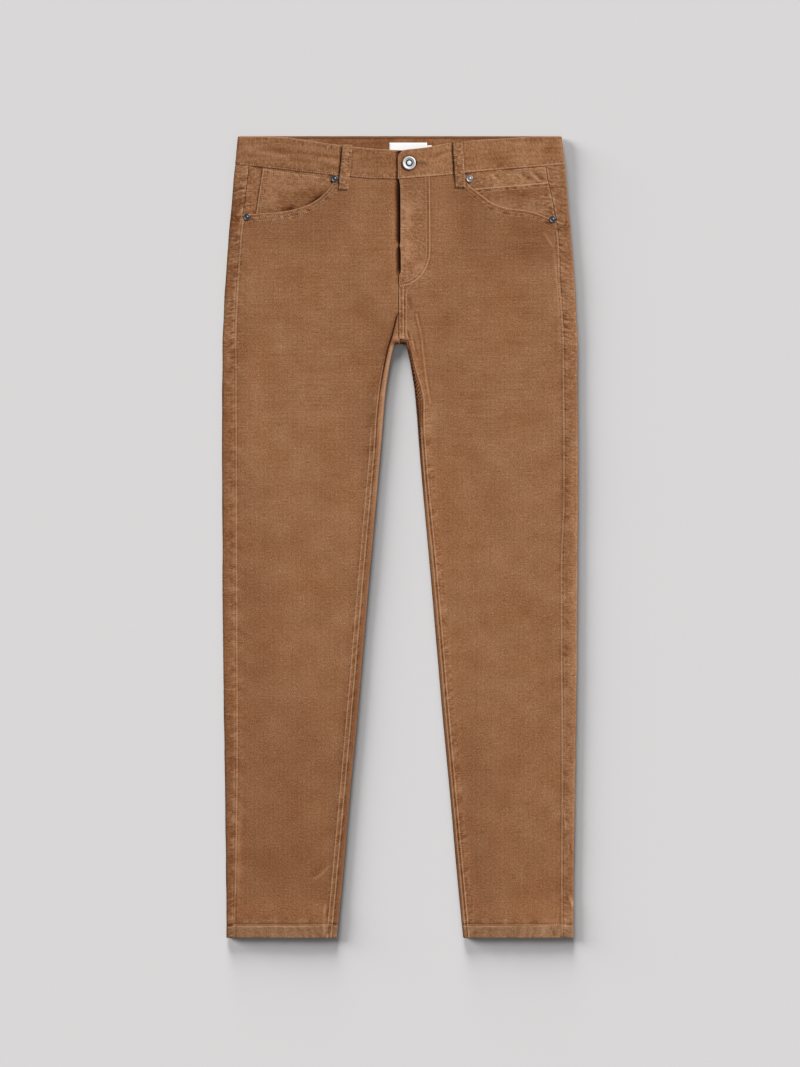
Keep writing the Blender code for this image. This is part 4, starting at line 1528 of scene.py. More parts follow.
        # painted shade in the rows' grooves
        for row in self.mouth_rows:
            r.groove(distance - row, self.stitch_depth * on, self.stitch_width, 0.34 * on)
        between = ease(distance, 0.0028, 0.005) * (1 - ease(distance, 0.0085, 0.011)) * on
        noise = Unevenness(51)((along + 0.4 * distance) / 0.0021, distance / 0.006)
        r.add(0.0003 * noise * between, 0.5 * noise * between)
        r.crush(0.7 * ease(distance, -0.001, 0.002) * (1 - ease(distance, 0.009, 0.014)) * on)
        # painted highlight on the mouth's turned edge
        r.groove(distance - 0.0003, -0.0001 * on, 0.0008, -(0.66 if side is Side.RIGHT else 0.8) * on)

    def fly(self, r: Relief, side: Side) -> None:
        """The fly's flap, its hooked stitching and the felled seam under it, with painted shadow beside the
        flap and a painted highlight on its edge.

        Args:
            r: The forms to add to.
            side: The wearer's side.
        """
        if side is Side.RIGHT:
            # painted shadow cast by the flap's raised edge on the right front beside it
            open_to = 0.0047 + 0.0012 * Unevenness(60)(r.down / 0.024, 0.5)
            open_to = open_to - 0.003 * hump(r.down, 0.1415, 0.0045)
            gap = (1 - ease(r.across, 0.5 * open_to, 1.5 * open_to)) * (1 - ease(r.down, 0.172, 0.184))
            r.add(-0.0004 * gap, -1.25 * gap * ease(r.down, 0.05, 0.06))
            return
        waist = 1 - FORM.waist_share(side, r.across, r.down)
        on_flap = (1 - ease(r.across, 0.03, 0.037)) * (1 - ease(r.down, 0.17, 0.192)) * waist
        lift = (1 - ease(r.across, -0.001, 0.02)) * (1 - ease(r.down, 0.182, 0.197))
        r.add(self.flap_rise * lift * ease(r.down, 0.06, 0.085))
        cloud = 0.7 * Unevenness(61)(r.across / 0.011, r.down / 0.013)
        streak = Unevenness(63)((r.across + 0.4 * r.down) / 0.0062, (r.down - 0.4 * r.across) / 0.0028)
        cloud = cloud + 0.45 * streak
        cloud = np.maximum(cloud, -0.28) + 0.34 * Unevenness(64)(r.across / 0.003, r.down / 0.0026)
        r.add(0.0004 * cloud * on_flap, (0.5 * cloud + 0.15) * on_flap)
        flap = (1 - ease(r.across, 0.036, 0.044)) * (1 - ease(r.down, 0.188, 0.198))
        r.crush((0.52 + 0.4 * (1 - ease(r.across, 0.003, 0.01))) * flap)
        distance, along = nearest(r.across, r.down, FLY_STITCH)
        inner, _ = nearest(r.across, r.down, beside(FLY_STITCH, -self.fly_row))
        below = ease(r.down, 0.052, 0.06)
        # painted highlight on the hooked row's ridge, and painted shade beside it
        r.groove(distance, -0.00026 * below, 0.0008, -0.85 * below)
        r.groove(distance - 0.0018, 0.00018 * below, 0.0009, 0.32 * below)
        r.groove(inner, 0.00022 * below, 0.001, 0.14 * below)
        band = hump(distance, 0.002, 0.0028) * on_flap
        noise = Unevenness(62)(along / 0.0019, distance / 0.004)
        r.add(0.00026 * noise * band, 0.45 * noise * band)
        # painted highlight along the flap's edge
        edge = 0.6 * below * (1 - ease(r.down, 0.186, 0.196))
        flap_edge = FORM.front_edge[Side.LEFT](r.down)
        r.groove(r.across - flap_edge, 0.0, 0.0013, -edge)
        r.groove((r.across - flap_edge - self.flap_row) + 10 * (r.down > 0.19), 0.00016, 0.0009, 0.22)

    def crotch(self, r: Relief, side: Side) -> None:
        """The felled centre seam below the fly, and the fold where the legs meet, with painted light and
        shade.

        Args:
            r: The forms to add to.
            side: The wearer's side.
        """
        below = ease(r.down, 0.1955, 0.2) * (1 - ease(r.down, 0.262, 0.266))
        if side is Side.LEFT:
            strip = (1 - ease(r.across, 0.0072, 0.0086)) * below
            r.add(0.00045 * strip)
            r.crush(0.85 * strip)
            distance, _ = nearest(r.across, r.down, FELL_RIDGE)
            r.groove(distance, -0.0002, 0.0008, -0.5)
            r.groove(distance - 0.0018, 0.0001, 0.0009, 0.22)
            r.groove(r.across - 0.0064, 0.0002 * below, 0.0007, 0.62 * below)
            r.groove(r.across - 0.002, 0.0001 * below, 0.0011, 0.42 * below)
            for row in self.fell_rows:
                r.groove(r.across - row, self.stitch_depth * below, self.stitch_width, -0.4 * below)
            noise = Unevenness(71)((r.down + 0.2 * r.across) / 0.0021, r.across / 0.006)
            r.add(0.0003 * noise * strip, 0.26 * noise * strip)
            # painted highlight along the left front's centre edge
            r.groove(r.across + 0.0004, 0.0, 0.0008, -0.62 * below)
        else:
            # painted shade along the centre seam
            r.groove(r.across, 0.0, 0.0013, 0.85 * below)
        near = hump(r.down, 0.264, 0.006) * (1 - ease(r.across, 0.008, 0.016))
        noise = Unevenness(72)(r.across / 0.0035, r.down / 0.0045)
        r.add(0.0005 * noise * near, 0.25 * noise * near)
        at_end = 1 - ease(r.across, 0.006, 0.011)
        fall = roll_off(np.maximum(FORM.crotch + 0.0004 - r.down, 0.0), 0.0026)
        past = r.down > FORM.crotch + 0.0004
        # painted shade where the fold turns down at the crotch, and a painted highlight just above it
        r.add(np.where(past, 0.0, -fall) * at_end, -0.85 * at_end * hump(r.down, 0.2692, 0.0036))
        r.add(0.0, 0.55 * at_end * hump(r.down, 0.2625, 0.0034))

    def hem(self, r: Relief, side: Side) -> None:
        """The stitched trough of the hem, its ease above and the gathers in it, with painted shade in the
        trough and a painted highlight below it.

        Args:
            r: The forms to add to.
            side: The wearer's side.
        """
        key = 81 if side is Side.LEFT else 85
        wander = 0.0007 * Unevenness(key)(r.across / 0.02, 0.5)
        behind = ease(r.across, FORM.side_seam(side, 1.025).max(), FORM.side_seam(side, 1.025).max() + 0.002)
        from_row = r.down - (FORM.length - self.hem_row) - wander - 0.0014 * behind * (side is Side.RIGHT)
        broken = np.clip(0.8 + 0.75 * Unevenness(key + 4)(r.across / 0.012, 0.5), 0.15, 1.35)
        # painted shade in the trough, and a painted highlight on the rise below it
        r.groove(from_row, 0.0006, 0.0012, 0.62 * broken)
        r.groove(from_row - 0.0023, -0.0003, 0.0011, -0.7 * broken)
        strength = 0.6 + 0.4 * Unevenness(key + 1)(r.across / 0.011, 3.5)
        r.groove(from_row + 0.0045, -0.0004 * strength, 0.003, -0.1 * strength)
        in_hem = ease(from_row, 0.001, 0.0035)
        noise = Unevenness(key + 2)(r.across / 0.0042 + from_row / 0.016, from_row / 0.02)
        r.add(0.0005 * noise * in_hem, 0.17 * noise * in_hem + 0.1 * in_hem)
        up = hump(from_row, -0.003, 0.007) * (1 - in_hem)
        gathers = Unevenness(key + 3)(r.across / 0.0065, from_row / 0.02)
        r.add(0.00042 * gathers * up, 0.22 * gathers * up)
        r.crush(0.28 * in_hem + 0.4 * up)

    def tone(self, side: Side, across: Array, down: Array) -> Array:
        """How much darker or paler the cloth is: darker towards the folds, painted shade of the rounded leg;
        darker at the top beside the pockets and at the shin, and paler at the hem.

        Args:
            side: The wearer's side.
            across: Places across.
            down: Places down.

        Returns:
            The shift at each place, above 0 where it is paler.
        """
        right = side is Side.RIGHT
        inner = FORM.inner(down)
        place = np.clip((across - inner) / (FORM.outer(down) - inner), 0.0, 1.0)
        shin = ease(down, 0.6, 0.84)
        depth = self.shin_depth if right else self.shin_depth * 0.15
        back = 0.2 if right else 2.0
        hem = ease(down, 1.012, 1.026)
        tone = depth * (shin - back * hem) - 0.04 * ease(down, 0.86, 0.95) * (1 - hem)
        under = 1 - (ease(down, 0.108, 0.165) if right else ease(down, 0.145, 0.19))
        tone = tone - (0.2 if right else 0.17) * under * ease(across, 0.05, 0.09)
        if right:
            # painted shade of the rounded leg: darker towards its inner and outer folds
            thigh = 0.13 * (1 - ease(place, 0.05, 0.32)) * (1 - ease(down, 0.36, 0.48))
            thigh = thigh * ease(down, 0.16, 0.26)
            first = 0.8 - 0.28 * ease(down, 0.36, 0.55)
            low = 0.1 * ease(place, 0.88, 0.95) * ease(down, 0.68, 0.76)
            return tone - thigh - low - 0.12 * ease(place, first, first + 0.2) * (1 - shin)
        # painted shade towards the inner fold
        near = 1 - ease(place, 0.0, 0.45)
        strip = 0.06 + 0.15 * ease(down, 0.34, 0.44) * (1 - ease(down, 0.66, 0.74))
        return tone + (0.15 * (place - 0.6) - 0.12 * near) * shin + strip * ease(place, 0.93, 0.97)

    def height(self, side: Side, across: Array, down: Array) -> Array:
        """Height of the finished front face."""
        smooth = FORM.top(side, across, down) - self.sink(side, across, down)
        return smooth + self.relief(side, across, down).rise

    def lay(self, side: Side, line: Line, over: float = 0.00008) -> Array:
        """Points in space of a line on the face."""
        across, down = line[:, 0], line[:, 1]
        return FORM.point(side, across, down, self.height(side, across, down) + over)

    def sew(self, sewing: Sewing) -> None:
        """Notes the rows of stitches on the fly's flap and on the felled seam below it.

        Args:
            sewing: The book that the lines are noted in.
        """
        down = np.linspace(*self.flap_sewn, self.flap_points)
        edge = np.column_stack([FORM.front_edge[Side.LEFT](down) + self.flap_row, down])
        lines = [FLY_STITCH, beside(FLY_STITCH, -self.fly_row), edge]
        below = np.linspace(*self.fell_sewn, self.fell_points)
        lines += [np.column_stack([np.full(self.fell_points, row), below]) for row in self.fell_rows]
        for line in lines:
            sewing.stitch("fly", self.lay(Side.LEFT, line))


FACE = Face()


def hem_turn() -> tuple[Array, Array, Array]:
    """The rows that turn a hem up inside the leg: down, depth, and how far past the end they lie.

    Returns:
        The three rows of numbers.
    """
    turn = FORM.cloth + FORM.gap
    angles = np.linspace(0, math.pi, 9)
    down = np.concatenate(
        [
            FORM.length - turn + turn * np.sin(angles),
            np.linspace(FORM.length - turn, FORM.length - FORM.hem, 6)[1:],
        ]
    )
    depth = np.concatenate([turn * (1 - np.cos(angles)), np.full(5, 2 * turn)])
    steps = np.hypot(np.diff(down, prepend=down[0]), np.diff(depth, prepend=0))
    return down, depth, FORM.length - turn + np.cumsum(steps)


LEVELS = metres(
    (1950, 13), (2290, 10), (2300, 13), (2457, 13), (2640, 6), (2652, 4), (2656, 11), (2690, 5),
    (2700, 3), (2706, 5), (2716, 12), (2800, 12), (4200, 22), (9850, 14), (10150, 9), (10411, 0),
)


@dataclass
class Legs:
    """The front and back leg panels and the yoke."""

    first: float = 0.057
    settle: float = 0.195
    seam_roll: float = 0.00038
    side_roll: float = 0.0002
    mouth_roll: float = 0.0008
    nominal: float = 0.19
    tongue_top_right: float = 0.23
    tongue_top_left: float = 0.2656
    yoke_tone: float = -0.01
    hem_line: float = 1.0248
    felled_rows: tuple[float, float] = (0.0022, 0.0082)
    row_points: int = 90
    row_step: float = 0.0015
    side_sewn: tuple[float, float] = (0.106, 0.985)
    inseam_starts: tuple[float, float] = (0.3, 0.38)
    centre_sewn: tuple[float, float] = (0.108, 0.266)
    fitting_rounds: int = 9
    front_flat: tuple[float, float] = (0.206, 1.006)
    back_flat: tuple[float, float] = (0.25, 0.995)
    yoke_flat: tuple[float, float] = (0.235, 0.072)

    FRONT_COLUMNS = metres(
        (0, 4), (8, 8), (24, 10), (440, 22), (800, 12), (1060, 22), (1740, 11), (1876, 8), (1892, 4),
        (1900, 0),
    )
    STRIP = ((0.0, 0.03), (0.12, 0.085), (1.0, 0.0))
    ARC_STEPS = 12
    FLAT = ((0.0, 0.008), (0.04, 0.017), (0.93, 0.008), (1.0, 0.0))
    INNER_STEPS = 10
    TONGUE = ((0.0, 0.14), (0.84, 0.08), (1.0, 0.0))

    def top_edge(self, side: Side, across: Array) -> Array:
        """Down to a front panel's upper edge: the waistband's seam, then the pocket's mouth.

        Args:
            side: The wearer's side.
            across: Places across.

        Returns:
            Places down.
        """
        seam = FORM.band_seam[side](np.abs(across)) + FORM.gap / 2
        cut = np.maximum(seam, FORM.mouth[side](across))
        return np.where(across > FORM.mouth_start[side], cut, seam)

    def settled(self, level: Array, top: Array, first: float) -> Array:
        """A row's place: rows follow the piece's upper edge, and level out."""
        eased = top + (level - first) * (self.settle - top) / (self.settle - first)
        return np.where(level >= self.settle, level, eased)

    def front_places(self, side: Side, levels: Array) -> tuple[Array, Array]:
        """(across, down) of a front panel's grid.

        Args:
            side: The wearer's side.
            levels: The rows' places at the middle of the grid.

        Returns:
            The places across and down.
        """
        share = spread(*self.FRONT_COLUMNS)[None, :] / self.nominal
        level = levels[:, None]
        down = level + 0 * share
        across = 0 * down
        for _ in range(self.fitting_rounds):
            inner = FORM.front_edge[side](down)
            seam = FORM.side_seam(side, down) - FORM.side_joint
            across = inner + (seam - inner) * share
            down = self.settled(level + 0 * share, self.top_edge(side, across), self.first)
        return across, down

    def front(self, side: Side, finish: Material) -> Piece:
        """A front panel, from the waistband and the pocket's mouth to the turned-up hem.

        Args:
            side: The wearer's side.
            finish: The cloth's material.

        Returns:
            The finished piece.
        """
        levels = np.concatenate(
            [spread((self.first, 0.0004), (0.0582, 0.0008), (0.0614, 0.0013), *LEVELS)[:-1], [1.0411]]
        )
        turn_down, turn_depth, turn_weave = hem_turn()
        across, down = self.front_places(side, levels)
        turned_across, turned_down = self.front_places(side, turn_down[1:])
        relief = FACE.relief(side, across, down)
        height = FORM.top(side, across, down) - FACE.sink(side, across, down)
        end = FORM.top(side, turned_across, turned_down) - turn_depth[1:, None]
        base = FORM.point(
            side, np.vstack([across, turned_across]), np.vstack([down, turned_down]), np.vstack([height, end])
        )
        fade = np.clip(1 - turn_depth[1:, None] / turn_depth[-1], 0, 1)
        relief.turn_up(fade)
        top = self.top_edge(side, across)
        tilt = np.gradient(top[0], across[0])
        lean = np.gradient(FORM.front_edge[side](levels), levels)[:, None]
        from_top = (down - top) / np.sqrt(1 + tilt[None, :] ** 2)
        from_inner = (across - FORM.front_edge[side](down)) / np.sqrt(1 + lean**2)
        from_side = FORM.side_seam(side, down) - FORM.side_joint - across
        edge = np.maximum.reduce(
            [
                roll_off(from_top, self.mouth_roll) * (1 - 0.5 * (across < FORM.mouth_start[side])),
                roll_off(from_inner, self.seam_roll),
                roll_off(from_side, self.side_roll),
            ]
        )
        edge = np.vstack([edge, edge[-1:] * fade])
        weave_down = np.concatenate([levels, turn_weave[1:]])[:, None] + 0 * base[..., 0]
        weave_down[: len(levels)] = down
        weave = np.stack([np.vstack([across, turned_across]) * side.value, weave_down], axis=-1)
        tone = FACE.tone(side, np.vstack([across, turned_across]), weave_down)
        cloth = Cloth(f"cloth_front_{side.word}", base, side, FORM.cloth, weave, relief, edge, tone)
        return cloth.piece(finish, self.front_flat, (f"cloth_back_{side.word}",))

    def section(self, side: Side, down: Array, depth: Array, parts: dict[Part, Array]) -> tuple[Array, Array]:
        """(across, height) of the back's outer face, in sections across the leg or the hips.

        Args:
            side: The leg's side.
            down: Places down, with a column for each column of the parts.
            depth: How far inside the outer face each row lies.
            parts: Shares or angles of the columns, by the part of the section that they lie on.

        Returns:
            Places across, and heights.
        """
        across, height = np.zeros(down.shape), np.zeros(down.shape)
        start = 0
        for part, shares in parts.items():
            where = slice(start, start + len(shares))
            start += len(shares)
            d = down[:, where]
            low = FORM.lift(d)
            outer = FORM.outer(d)
            inner = np.maximum(FORM.inner(d), FORM.gap / 2)
            outer_radius = (FORM.top(side, outer - FORM.fold, d) - low) / 2
            inner_radius = (FORM.top(side, inner + FORM.fold, d) - low) / 2
            reach = FORM.gap + (inner_radius - FORM.gap) * ease(d, FORM.crotch, FORM.crotch + 0.003)
            reach = np.where(d >= FORM.crotch - 1e-9, reach, 0.0)
            if part is Part.STRIP:
                first = FORM.side_seam(side, d) + FORM.side_joint
                across[:, where] = first + (outer - outer_radius - first) * shares
                height[:, where] = FORM.top(side, across[:, where], d) - depth
            elif part is Part.OUTER_FOLD:
                turn = outer_radius - depth
                across[:, where] = outer - outer_radius + turn * np.cos(shares)
                height[:, where] = low + outer_radius + turn * np.sin(shares)
            elif part is Part.FLAT:
                first, last = outer - outer_radius, inner + reach
                across[:, where] = first + (last - first) * shares
                height[:, where] = low + depth
            elif part is Part.INNER_FOLD:
                turn = inner_radius - depth
                across[:, where] = inner + reach - np.maximum(reach - depth, 0.0) * np.cos(shares)
                height[:, where] = low + inner_radius + turn * np.sin(shares)
            else:
                first, last = inner + reach, FORM.front_edge[side](d) - FORM.gap
                if side is Side.LEFT:
                    last = np.where(d < 0.2651, FORM.gap, last)
                across[:, where] = first + (last - first) * shares
                height[:, where] = FORM.top(side, across[:, where], d) - depth
        return across, height

    def back_relief(
        self, side: Side, across: Array, down: Array, parts: dict[Part, Array], seams: Sequence[float]
    ) -> Relief:
        """The small forms of a back piece: the front face's on its strips, and its own underneath.

        Args:
            side: The wearer's side.
            across: Places across.
            down: Places down.
            parts: Shares or angles of the columns, by part of the section.
            seams: How far down seams cross it.

        Returns:
            The forms.
        """
        r = Relief(across, down)
        starts = np.cumsum([0, *[len(shares) for shares in parts.values()]])
        for (part, shares), start, end in zip(parts.items(), starts, starts[1:]):
            where = (slice(None), slice(start, end))
            if part in (Part.STRIP, Part.TONGUE):
                face = FACE.relief(side, across[where], down[where])
                sink = FACE.sink(side, across[where], down[where])
                r.rise[where], r.wear[where], r.crumple[where] = face.rise - sink, face.wear, face.crumple
                continue
            if part in (Part.OUTER_FOLD, Part.INNER_FOLD):
                at = across[where][:, :1] if part is Part.OUTER_FOLD else across[where][:, -1:]
                face = FACE.relief(side, at + 0 * shares, down[where])
                fade = np.clip((1 + np.sin(shares)) / 2, 0, 1)[None, :] ** 1.5
                r.rise[where], r.wear[where] = face.rise * fade, face.wear * fade
                r.crumple[where] = face.crumple * fade
                if part is Part.OUTER_FOLD:
                    wave = Unevenness(91 + side.value)(down[where] / 0.03, shares[None, :] + 0 * down[where])
                    r.rise[where] += 0.00035 * wave * np.cos(shares) ** 2
                continue
            soft = Unevenness(93 + side.value)(across[where] / 0.04, down[where] / 0.09)
            gathers = Unevenness(95)(across[where] / 0.006, down[where] / 0.02)
            near_hem = ease(down[where], FORM.length - 0.03, FORM.length - 0.018)
            r.rise[where] = -0.00045 * (1 + soft) / 2 - 0.00025 * (1 + gathers) / 2 * near_hem
            for seam in seams:
                # painted shade in the dip along each seam underneath
                dip = hump(down[where], seam, 0.0012)
                r.rise[where] -= 0.0003 * dip
                r.wear[where] -= 0.35 * dip
        return r

    def parts(self, names: Sequence[Part]) -> dict[Part, Array]:
        """Shares or angles of a back piece's columns, by part.

        Args:
            names: The parts that the piece has.

        Returns:
            The columns of each part.
        """
        every = {
            Part.STRIP: spread(*self.STRIP)[:-1],
            Part.OUTER_FOLD: np.linspace(math.pi / 2, -math.pi / 2, self.ARC_STEPS + 1),
            Part.FLAT: spread(*self.FLAT)[1:-1],
            Part.INNER_FOLD: np.linspace(-math.pi / 2, math.pi / 2, self.INNER_STEPS + 1),
            Part.TONGUE: spread(*self.TONGUE)[1:],
        }
        return {name: every[name] for name in names}

    def along(self, parts: dict[Part, Array]) -> Array:
        """How far round towards the centre of the back each column lies.

        Args:
            parts: Shares or angles of the columns, by part of the section.

        Returns:
            0 at the side and 1 at the centre, for each column.
        """
        way = {Part.STRIP: 0.0, Part.OUTER_FOLD: 0.0, Part.INNER_FOLD: 1.0, Part.TONGUE: 1.0}
        found = [shares if part is Part.FLAT else 0 * shares + way[part] for part, shares in parts.items()]
        return np.concatenate(found)

    def yoke_seam(self, along: Array) -> Array:
        """Down to the yoke's seam."""
        return FORM.yoke_side + (FORM.yoke_centre - FORM.yoke_side) * along

    def rolled(self, side: Side, across: Array, down: Array, top: Array, strip: int) -> Array:
        """How far the seam edges of a back piece fall: at its top and beside the side seam.

        Args:
            side: The wearer's side.
            across: Places across.
            down: Places down.
            top: Down to the upper edge.
            strip: How many columns lie beside the side seam.

        Returns:
            How far each place falls.
        """
        edge = roll_off(down - top, self.seam_roll)
        beside_seam = across[:, :strip] - FORM.side_seam(side, down[:, :strip]) - FORM.side_joint
        edge[:, :strip] = np.maximum(edge[:, :strip], roll_off(beside_seam, self.side_roll))
        return edge

    def weave_of(self, base: Array, side: Side, down: Array) -> Array:
        """The weave's places round a section: the way round from the side seam, and down.

        Args:
            base: The piece's places in space.
            side: The wearer's side.
            down: Places down.

        Returns:
            The weave's places.
        """
        steps = np.linalg.norm(np.diff(base[..., [0, 2]], axis=1), axis=-1)
        way = np.concatenate([np.zeros((len(base), 1)), np.cumsum(steps, axis=1)], axis=1)
        start = base[:, :1, 0]
        return np.stack([start + side.value * way, down], axis=-1)

    def back(self, side: Side, finish: Material) -> Piece:
        """A back panel: round both folds of the leg, and down to the turned-up hem.

        Args:
            side: The wearer's side.
            finish: The cloth's material.

        Returns:
            The finished piece.
        """
        parts = self.parts((Part.STRIP, Part.OUTER_FOLD, Part.FLAT, Part.INNER_FOLD, Part.TONGUE))
        along = self.along(parts)
        first = FORM.yoke_centre
        levels = spread((first, 0.0006), (first + 0.0018, 0.001), *LEVELS)
        turn_down, turn_depth, turn_weave = hem_turn()
        top = np.broadcast_to(self.yoke_seam(along) + FORM.gap / 2, (len(levels), len(along)))
        down = self.settled(levels[:, None] + 0 * top, top, first)
        turned = turn_down[1:, None] + 0 * along[None, :]
        depth = np.concatenate([np.zeros(len(levels)), turn_depth[1:]])[:, None]
        across, height = self.section(side, np.vstack([down, turned]), depth, parts)
        base = FORM.point(side, across, np.vstack([down, turned]), height)
        relief = self.back_relief(side, across[: len(levels)], down, parts, (FORM.length - FACE.hem_row,))
        fade = np.clip(1 - turn_depth[1:, None] / turn_depth[-1], 0, 1)
        relief.turn_up(fade)
        strip = len(parts[Part.STRIP])
        folds = len(along) - len(parts[Part.TONGUE]) - len(parts[Part.INNER_FOLD])
        edge = self.rolled(side, across[: len(levels)], down, top, strip)
        tongue = slice(len(along) - len(parts[Part.TONGUE]), None)
        last = FORM.front_edge[side](down[:, tongue]) - FORM.gap
        edge[:, tongue] = np.maximum(
            edge[:, tongue], roll_off(last - across[: len(levels), tongue], self.seam_roll * 0.9)
        )
        edge = np.vstack([edge, edge[-1:] * fade])
        tongue_top = self.tongue_top_right if side is Side.RIGHT else self.tongue_top_left
        first_tongue = len(along) - len(parts[Part.TONGUE]) - 1

        def present(row: int, column: int) -> bool:
            """Above the crotch a back panel ends at the centre seam, but for its tongue.

            Args:
                row: A row of the grid.
                column: A column of the grid.

            Returns:
                Whether there is cloth.
            """
            level = levels[min(row, len(levels) - 1)]
            if column >= first_tongue:
                return bool(level >= tongue_top - 1e-6)
            return bool(column < folds or level >= FORM.crotch - 1e-6)

        weave_down = np.concatenate([levels, turn_weave[1:]])[:, None] + 0 * base[..., 0]
        weave_down[: len(levels)] = down
        kept = [int(np.argmin(abs(levels - place))) for place in (tongue_top, FORM.crotch)]
        weave, tone = self.weave_of(base, side, weave_down), FACE.tone(side, across, weave_down)
        cloth = Cloth(f"cloth_back_{side.word}", base, side, FORM.cloth, weave, relief, edge, tone)
        cloth.kept_rows, cloth.kept_columns, cloth.present = kept, (folds, first_tongue), present
        return cloth.piece(finish, self.back_flat, columns=folds + 1)

    def yoke(self, side: Side, finish: Material) -> Piece:
        """The back yoke, whose end comes round to the front beside the side seam.

        Args:
            side: The wearer's side.
            finish: The cloth's material.

        Returns:
            The finished piece.
        """
        parts = self.parts((Part.STRIP, Part.OUTER_FOLD, Part.FLAT))
        parts[Part.INNER_FOLD] = np.array([-math.pi / 2])
        along = self.along(parts)
        strip = len(parts[Part.STRIP])
        seam = FORM.band_seam[side](FORM.side_seam(side, FORM.back_band))
        top = np.full(len(along), FORM.back_band + FORM.gap / 2)
        top[:strip] = seam + (FORM.back_band - seam) * np.linspace(0, 1, strip) + FORM.gap / 2
        bottom = self.yoke_seam(along) - FORM.gap / 2
        bottom[:strip] += FORM.gap * (side is Side.RIGHT)
        share = spread((0.0, 0.012), (0.05, 0.035), (0.95, 0.012), (1.0, 0.0))[:, None]
        down = top + (bottom - top) * share
        across, height = self.section(side, down, np.zeros((len(share), 1)), parts)
        base = FORM.point(side, across, down, height)
        relief = self.back_relief(side, across, down, parts, ())
        edge = self.rolled(side, across, down, np.broadcast_to(top, down.shape), strip)
        edge = np.maximum(edge, roll_off(bottom - down, self.seam_roll))
        weave = self.weave_of(base, side, down)
        cloth = Cloth(f"cloth_yoke_{side.word}", base, side, FORM.cloth, weave, relief, edge, self.yoke_tone)
        return cloth.piece(finish, self.yoke_flat)

    def sew(self, side: Side, sewing: Sewing) -> None:
        """Notes the rows of stitches on a leg and on the hips.

        Args:
            side: The wearer's side.
            sewing: The book that the lines are noted in.
        """
        place = f"leg_{side.word}"
        down = spread((0.0, self.row_step), (1.0, 0.0))

        def run(start: float, end: float, across: Callable[[Array], Array]) -> Line:
            """A line down the leg between two places."""
            d = start + (end - start) * down
            return np.column_stack([across(d), d])

        side_line = run(*self.side_sewn, lambda d: FORM.side_seam(side, d) - FACE.side_row)
        sewing.stitch(place, FACE.lay(side, side_line))
        for row, start in zip(FACE.INSEAM_ROWS[side], self.inseam_starts):
            line = run(start, FORM.length - FORM.hem, lambda d, row=row: FORM.front_edge[side](d) + row)
            sewing.stitch(place, FACE.lay(side, line))
        start, end = FORM.front_edge[side](self.hem_line), FORM.side_seam(side, self.hem_line)
        across = np.linspace(start + 0.001, end - 0.001, self.row_points)
        wander = 0.0007 * Unevenness(81 if side is Side.LEFT else 85)(across / 0.02, 0.5)
        hem = np.column_stack([across, FORM.length - FACE.hem_row + wander])
        sewing.stitch(place, FACE.lay(side, hem))
        inner, outer = FORM.inner(self.hem_line), FORM.outer(self.hem_line)
        under = np.linspace(inner + 0.004, outer - 0.004, self.row_points)
        below = FORM.point(side, under, FORM.length - FACE.hem_row, 0.0003)
        sewing.stitch(f"back_{side.word}", below)
        for step in self.felled_rows:
            along = np.linspace(0.01, 0.99, 110)
            d = self.yoke_seam(along) + step
            a = (FORM.outer(d) - 0.003) * (1 - along) + 0.001
            sewing.stitch(f"back_{side.word}", FORM.point(side, a, d, FORM.lift(d) + 0.0002))
        if side is Side.LEFT:
            for step in self.felled_rows:
                d = np.linspace(*self.centre_sewn, 100)
                sewing.stitch("back_left", FORM.point(side, step, d, 0.0002))


